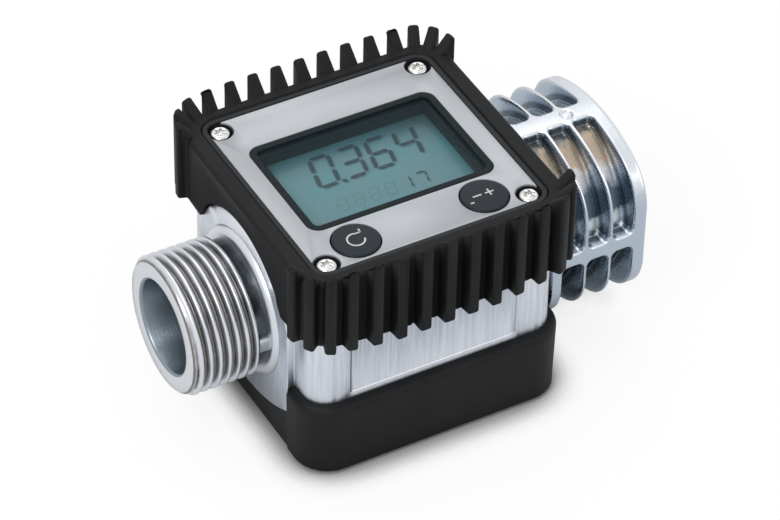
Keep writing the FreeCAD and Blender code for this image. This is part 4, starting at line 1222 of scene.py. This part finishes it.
@dataclass
class Readout:
    """A row of slanted seven-segment digits on the display cell."""

    figures: str
    left: float
    base: float
    width: float
    height: float
    pitch: float
    stroke: float
    point_after: Optional[int] = None
    slant: float = 0.2
    thickness: float = 0.02 * MM

    def add_to(self, mesh: bmesh.types.BMesh, level: float, shift: Vector) -> None:
        """Adds the row's bars.

        Args:
            mesh: the mesh that they join.
            level: the height that they lie at.
            shift: how far the row is moved across the cell.
        """
        for index, figure in enumerate(self.figures):
            foot = Vector((self.left + index * self.pitch + self.width / 2, self.base, level)) + shift
            for bar in DIGITS.get(figure, ()):
                self._bar(mesh, foot, bar)
            if self.point_after == index:
                self._point(mesh, foot)

    def _bar(self, mesh: bmesh.types.BMesh, foot: Vector, bar: Segment) -> None:
        """Adds one bar, a thin hexagon.

        Args:
            mesh: the mesh that it joins.
            foot: the digit's place.
            bar: which bar it is.
        """
        share_x, share_y, stands = bar.value
        length = (self.height / 2 if stands else self.width) - 0.5 * self.stroke
        half, tip = self.stroke / 2, length / 2
        made = bmesh.ops.create_circle(mesh, cap_ends=True, segments=6, radius=1.0)["verts"]
        for vert in made:
            along, across = vert.co.y, vert.co.x
            along = math.copysign(tip if abs(along) > 0.9 else tip - half, along)
            across = 0.0 if abs(across) < 0.1 else math.copysign(half, across)
            place = Vector((across, along, 0.0)) if stands else Vector((along, across, 0.0))
            place += Vector((share_x * self.width, share_y * self.height, 0.0))
            place.x += place.y * self.slant
            vert.co = foot + place

    def _point(self, mesh: bmesh.types.BMesh, foot: Vector) -> None:
        """Adds the decimal point after a digit."""
        middle = foot + Vector((self.pitch / 2 + 0.1 * self.stroke, -0.2 * self.stroke, 0.0))
        turn = Matrix.Translation(middle)
        bmesh.ops.create_circle(mesh, cap_ends=True, segments=8, radius=0.62 * self.stroke, matrix=turn)


@dataclass
class Display:
    """What the liquid crystal cell shows: lit bars, their shadows and the unlit ones."""

    cell_top: float
    rows: Sequence[Readout]
    unlit: Sequence[Readout]
    lift: float = 0.05 * MM
    shadow: Vector = field(default_factory=lambda: Vector((0.30 * MM, -0.45 * MM, 0.0)))

    def build(self) -> None:
        """Makes and dresses the three layers."""
        lit = SegmentInk("segment_ink", (0.020, 0.050, 0.070), 0.72)
        cast = SegmentInk("segment_shadow", (0.03, 0.08, 0.10), 0.24)
        idle = SegmentInk("segment_idle", (0.04, 0.11, 0.12), 0.12)
        still = Vector((0.0, 0.0, 0.0))
        self._layer("lit_segments", self.rows, 3 * self.lift, still, lit)
        self._layer("segment_shadows", self.rows, self.lift, self.shadow, cast)
        self._layer("idle_segments", self.unlit, 2 * self.lift, still, idle)

    def _layer(self, name: str, rows: Sequence[Readout], lift: float, shift: Vector, ink: SegmentInk) -> None:
        """Makes one layer of bars.

        Args:
            name: the piece's name.
            rows: the rows that it shows.
            lift: its height above the cell.
            shift: how far it is moved across.
            ink: its finish.
        """
        mesh = bmesh.new()
        for row in rows:
            row.add_to(mesh, self.cell_top + lift, shift)
        piece = piece_from(mesh, name)
        dress(piece, ink.build(), smooth=None)


@dataclass
class ButtonMark:
    """Pale printed marks on a push button: short strokes and rings that lie on its top."""

    button: bpy.types.Object
    body: str
    name: str
    thickness: float = 0.02 * MM

    def top(self) -> Vector:
        """The middle of the button's top."""
        low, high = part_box(self.button.name)
        return Vector(((low.x + high.x) / 2, (low.y + high.y) / 2, high.z + self.thickness))

    def stroke(
        self, mesh: bmesh.types.BMesh, middle: Vector, length: float, width: float, turn: float
    ) -> None:
        """Adds a short straight stroke.

        Args:
            mesh: the mesh that it joins.
            middle: its middle, from the button's middle.
            length: its length.
            width: its width.
            turn: its direction in degrees from +X.
        """
        place = Matrix.Translation(self.top() + middle) @ Matrix.Rotation(math.radians(turn), 4, "Z")
        size = Matrix.Diagonal((length / 2, width / 2, 1.0, 1.0))
        bmesh.ops.create_grid(mesh, x_segments=1, y_segments=1, size=1.0, matrix=place @ size)

    def arc(self, mesh: bmesh.types.BMesh, radius: float, width: float, start: float, sweep: float) -> None:
        """Adds part of a ring round the button's middle.

        Args:
            mesh: the mesh that it joins.
            radius: the ring's middle radius.
            width: its width.
            start: where it starts, in degrees from +X.
            sweep: how many degrees it covers.
        """
        top = self.top()
        inner = mesh.verts.new(top + Vector((radius - width / 2, 0.0, 0.0)))
        outer = mesh.verts.new(top + Vector((radius + width / 2, 0.0, 0.0)))
        edge = mesh.edges.new((inner, outer))
        bmesh.ops.rotate(
            mesh, verts=[inner, outer], cent=top, matrix=Matrix.Rotation(math.radians(start), 3, "Z")
        )
        bmesh.ops.spin(
            mesh, geom=[inner, outer, edge], cent=top, axis=UP, angle=math.radians(sweep), steps=28
        )

    def finish(self, mesh: bmesh.types.BMesh, material: bpy.types.Material) -> None:
        """Dresses the marks so that they move with the button."""
        for face in mesh.faces:
            if face.normal.z < 0:
                face.normal_flip()
        piece = piece_from(mesh, self.name)
        dress(piece, material, self.body, smooth=None)


# ---------------------------------------------------------------- studio


@dataclass
class Studio:
    """Pale floor, soft lamps, plain surroundings and the camera."""

    azimuth: float = -29.72
    elevation: float = 41.30
    roll: float = 1.36
    distance: float = 0.9424
    target: Vector = field(default_factory=lambda: Vector((0.0, -0.00853, 0.03417)))
    lens: float = 192.46
    floor_glow: float = 0.82
    floor_gap: float = 0.02 * MM

    def build(self) -> None:
        """Sets up everything but the object."""
        self._floor()
        self._world()
        self._lamp("key", Vector((-0.55, -0.35, 0.75)), 0.55, 3.6)
        self._lamp("fill", Vector((0.75, -0.55, 0.45)), 0.6, 1.2)
        self._lamp("top", Vector((0.1, 0.45, 0.9)), 0.7, 1.5)
        self._camera()
        settings = bpy.context.scene.view_settings
        settings.view_transform = "Standard"

    def _floor(self) -> None:
        """A pale floor that keeps the shadow, with a painted contact shadow that greys it near the object."""
        mesh = bmesh.new()
        bmesh.ops.create_grid(mesh, x_segments=1, y_segments=1, size=4.0)
        bmesh.ops.translate(mesh, verts=mesh.verts, vec=-self.floor_gap * UP)
        piece = piece_from(mesh, "studio_floor")
        made = Shader("studio_floor")
        # painted contact shadow: near the object the floor is painted grey and glows less
        clear = made.openness(9.0 * MM).clipped(0.5, 1.0)
        made.set(
            Base_Color=made.mix(clear, (0.45, 0.45, 0.46), (0.98, 0.98, 0.98)),
            Roughness=0.9,
            Specular_IOR_Level=0.1,
        )
        seen = made.node("ShaderNodeLightPath", output="Is Camera Ray")
        white = made.node("ShaderNodeEmission", {}, {"Color": (1.0, 1.0, 1.0), "Strength": 1.03})
        glow = seen * clear * self.floor_glow
        lit = made.node("ShaderNodeMixShader", {}, {0: glow, 1: made.lit(), 2: white})
        made.tree.links.new(lit.socket, made.tree.nodes["Material Output"].inputs["Surface"])
        piece.data.materials.append(made.material)

    def _world(self) -> None:
        """White to the eye, to metal and to glass, and a plain level on the object."""
        world = bpy.data.worlds.new("studio")
        bpy.context.scene.world = world
        world.use_nodes = True
        tree = world.node_tree
        path = tree.nodes.new("ShaderNodeLightPath")
        shown = path.outputs["Is Camera Ray"]
        for name in ("Is Glossy Ray", "Is Transmission Ray"):
            either = tree.nodes.new("ShaderNodeMath")
            either.operation = "MAXIMUM"
            tree.links.new(shown, either.inputs[0])
            tree.links.new(path.outputs[name], either.inputs[1])
            shown = either.outputs[0]
        level = tree.nodes.new("ShaderNodeMapRange")
        tree.links.new(shown, level.inputs["Value"])
        level.inputs["To Min"].default_value = 0.55
        level.inputs["To Max"].default_value = 1.0
        tree.links.new(level.outputs[0], tree.nodes["Background"].inputs["Strength"])
        tree.nodes["Background"].inputs["Color"].default_value = (1.0, 1.0, 1.0, 1.0)

    def _lamp(self, name: str, place: Vector, size: float, power: float) -> None:
        """Adds a soft lamp that faces the object.

        Args:
            name: the lamp's name.
            place: where it stands.
            size: the side of its square.
            power: its power in watts.
        """
        lamp = bpy.data.lights.new(name, "AREA")
        lamp.size = size
        lamp.energy = power
        made = bpy.data.objects.new(name, lamp)
        made.location = place
        made.rotation_euler = (self.target - place).to_track_quat("-Z", "Y").to_euler()
        bpy.context.scene.collection.objects.link(made)

    def _camera(self) -> None:
        """Places the camera."""
        camera = bpy.data.cameras.new("camera")
        camera.lens = self.lens
        camera.sensor_width = 36.0
        camera.clip_start, camera.clip_end = 0.05, 20.0
        made = bpy.data.objects.new("camera", camera)
        azimuth, elevation = math.radians(self.azimuth), math.radians(self.elevation)
        level = math.cos(elevation)
        back = Vector((math.sin(azimuth) * level, -math.cos(azimuth) * level, math.sin(elevation)))
        aimed = (-back).to_track_quat("-Z", "Y")
        made.rotation_mode = "QUATERNION"
        made.rotation_quaternion = aimed @ Matrix.Rotation(math.radians(self.roll), 4, "Z").to_quaternion()
        made.location = self.target + self.distance * back
        bpy.context.scene.collection.objects.link(made)
        bpy.context.scene.camera = made


# ---------------------------------------------------------------- the whole meter


def screw_centres(node: str, radius: float) -> list[Vector]:
    """The four centre lines of the cover screws.

    Args:
        node: the screws' CAD node.
        radius: the radius of their heads.

    Returns:
        The centre lines, from the corners of the node's box.
    """
    low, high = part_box(node)
    return [
        Vector((x, y, 0.0))
        for x in (low.x + radius, high.x - radius)
        for y in (low.y + radius, high.y - radius)
    ]


def build_cast_body(nodes: dict[str, bpy.types.Object], record: dict) -> None:
    """Makes the casting from the frame's sizes.

    Args:
        nodes: the CAD nodes by name.
        record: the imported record.
    """
    low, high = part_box("body_casting")
    mounts = {mount["name"]: mount for mount in record["mounts"]}
    major = mounts["inlet_thread"]["dims"]["r_mm"] * MM
    socket = mounts["outlet_thread"]["dims"]["r_mm"] * MM
    bore = 11.2 * MM
    plate = 33.15 * MM
    inlet = InletNipple(plate=-plate, face=low.x, major=major, bore=bore)
    outlet = RibbedOutlet(
        plate=plate, face=high.x, neck=21.0 * MM, start=34.1 * MM, bore=bore, socket=socket
    )
    casting = CastBody(nodes["body_casting"], inlet, outlet, plate)
    casting.build()


def build_covers(nodes: dict[str, bpy.types.Object]) -> None:
    """Makes the guard, the foot and the moulded parts of the head.

    Args:
        nodes: the CAD nodes by name.
    """
    rubber = Rubber().build()
    black = Moulded("black_plastic", (0.014, 0.015, 0.017), 0.36, shine=0.22).build()
    gloss = Moulded("frame_plastic", (0.004, 0.010, 0.014), 0.24, shine=0.13).build()
    FinnedGuard(nodes["rubber_guard"], "finned_guard", "black_rubber", 0.3 * MM).build(rubber)
    EasedPart(nodes["foot_cap"], "rubber_foot", "black_rubber", 0.6 * MM, 3).build(rubber)
    EasedPart(nodes["display_housing"], "head_housing", "black_plastic", 0.3 * MM, 3).build(black)
    EasedPart(nodes["face_panel"], "front_plate", "panel_silver", 0.08 * MM, 1).build(FacePlate().build())
    EasedPart(nodes["window_frame"], "window_surround", "frame_plastic", 0.3 * MM, 3).build(gloss)


def build_buttons(nodes: dict[str, bpy.types.Object]) -> None:
    """Makes both push buttons and their printed marks.

    Args:
        nodes: the CAD nodes by name.
    """
    skin = Moulded("button_black", (0.014, 0.021, 0.028), 0.34, texture=0.2 * MM, shine=0.2).build()
    print_white = Moulded("mark_print", (0.62, 0.63, 0.64), 0.5).build()
    for use in ("reset", "setup"):
        node, name, body = nodes[f"{use}_button"], f"{use}_key_top", f"{use}_key"
        EasedPart(node, name, "button_black", 0.12 * MM, 2, body=body).build(skin)
    back = ButtonMark(nodes["reset_button"], "reset_key", "reset_mark")
    mesh = bmesh.new()
    back.arc(mesh, 2.0 * MM, 0.42 * MM, 60.0, 290.0)
    back.stroke(mesh, Vector((1.55 * MM, 1.85 * MM, 0.0)), 1.2 * MM, 0.42 * MM, 5.0)
    back.stroke(mesh, Vector((2.05 * MM, 2.35 * MM, 0.0)), 1.2 * MM, 0.42 * MM, 85.0)
    back.finish(mesh, print_white)
    trim = ButtonMark(nodes["setup_button"], "setup_key", "setup_mark")
    mesh = bmesh.new()
    trim.stroke(mesh, Vector((1.5 * MM, 0.5 * MM, 0.0)), 2.2 * MM, 0.42 * MM, 0.0)
    trim.stroke(mesh, Vector((1.5 * MM, 0.5 * MM, 0.001 * MM)), 2.2 * MM, 0.42 * MM, 90.0)
    trim.stroke(mesh, Vector((-1.6 * MM, 0.5 * MM, 0.0)), 2.2 * MM, 0.42 * MM, 0.0)
    trim.stroke(mesh, Vector((-3.7 * MM, -1.2 * MM, 0.0)), 0.9 * MM, 0.45 * MM, 0.0)
    trim.finish(mesh, print_white)


def build_head() -> None:
    """Makes the screws and what the display shows."""
    low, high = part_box("cover_screws")
    radius, head, shank = 2.35 * MM, 1.8 * MM, 1.5 * MM
    centres = screw_centres("cover_screws", radius)
    screws = CoverScrews(centres, high.z - head, high.z, radius, low.z, shank)
    screws.build(Metal("screw_steel", (0.74, 0.74, 0.73), 0.16).build())
    cell_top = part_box("display_cell")[1].z
    large = dict(base=2.2 * MM, width=4.7 * MM, height=9.8 * MM, pitch=7.18 * MM, stroke=1.05 * MM)
    small = dict(base=-7.1 * MM, width=2.3 * MM, height=3.9 * MM, pitch=4.1 * MM, stroke=0.42 * MM)
    rows = [
        Readout("0364", -12.1 * MM, point_after=0, **large),
        Readout("17", 4.2 * MM, **small),
    ]
    unlit = [Readout("8888", -12.0 * MM, **small)]
    Display(cell_top, rows, unlit).build()


def dress_frame(nodes: dict[str, bpy.types.Object]) -> None:
    """Gives the CAD nodes that stay as they are their finishes.

    Args:
        nodes: the CAD nodes by name.
    """
    support = Moulded("support_plastic", (0.10, 0.105, 0.11), 0.45)
    rotor = Moulded("rotor_plastic", (0.80, 0.81, 0.78), 0.3)
    bearing = Moulded("bearing_plastic", (0.50, 0.38, 0.23), 0.4)
    gasket = Moulded("gasket_rubber", (0.045, 0.045, 0.05), 0.6)
    black = Moulded("cover_plastic", (0.025, 0.026, 0.028), 0.42)
    steel = Metal("plain_steel", (0.72, 0.72, 0.72), 0.22)
    spring = Metal("spring_steel", (0.42, 0.42, 0.44), 0.3)
    finishes = {
        support: ["inlet_support", "outlet_support"],
        rotor: ["turbine_rotor"],
        bearing: ["rotor_bushes", "thrust_washers"],
        gasket: ["battery_gasket", "housing_gasket"],
        black: ["battery_cover"],
        steel: ["rotor_shaft", "battery_cover_screws"],
        spring: ["inlet_retaining_ring", "outlet_retaining_ring"],
        Metal("contact_metal", (0.76, 0.72, 0.62), 0.2): ["battery_contacts"],
        Metal("magnet_metal", (0.32, 0.32, 0.33), 0.35): ["rotor_magnets"],
        Moulded("cell_jacket", (0.12, 0.16, 0.30), 0.3): ["front_battery", "rear_battery"],
        Moulded("board_green", (0.05, 0.20, 0.11), 0.35): ["circuit_board"],
        Moulded("switch_plastic", (0.08, 0.08, 0.085), 0.4): ["tactile_switches"],
        Moulded("strip_rubber", (0.42, 0.20, 0.22), 0.5): ["contact_strips"],
        Moulded("sensor_plastic", (0.07, 0.07, 0.08), 0.4): ["pickup_sensor"],
        LiquidCrystal(): ["display_cell"],
        ClearLens(): ["window_lens"],
    }
    for finish, names in finishes.items():
        material = finish.build()
        for name in names:
            nodes[name].data.materials.clear()
            nodes[name].data.materials.append(material)
            nodes[name].data.shade_smooth()
            nodes[name].data.set_sharp_from_angle(angle=math.radians(30.0))
            log.info("%s: %s", name, material.name)


def main() -> None:
    """Builds the meter, piece by piece."""
    nodes = frame["nodes"]
    dress_frame(nodes)
    build_cast_body(nodes, frame["record"])
    build_covers(nodes)
    build_buttons(nodes)
    build_head()
    Studio().build()


logging.basicConfig(level=logging.INFO, format="%(message)s")
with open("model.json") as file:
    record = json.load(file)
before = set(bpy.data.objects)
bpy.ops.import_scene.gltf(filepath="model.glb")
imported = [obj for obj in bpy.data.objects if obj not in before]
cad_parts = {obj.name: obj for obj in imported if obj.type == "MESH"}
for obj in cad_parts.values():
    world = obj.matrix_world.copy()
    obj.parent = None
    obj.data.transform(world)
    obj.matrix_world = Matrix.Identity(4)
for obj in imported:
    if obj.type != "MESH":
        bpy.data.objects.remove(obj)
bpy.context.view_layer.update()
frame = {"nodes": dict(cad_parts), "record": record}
AXIS_HEIGHT = frame["record"]["mounts"][0]["pos_m"][2]

if __name__ == "__main__":
    main()
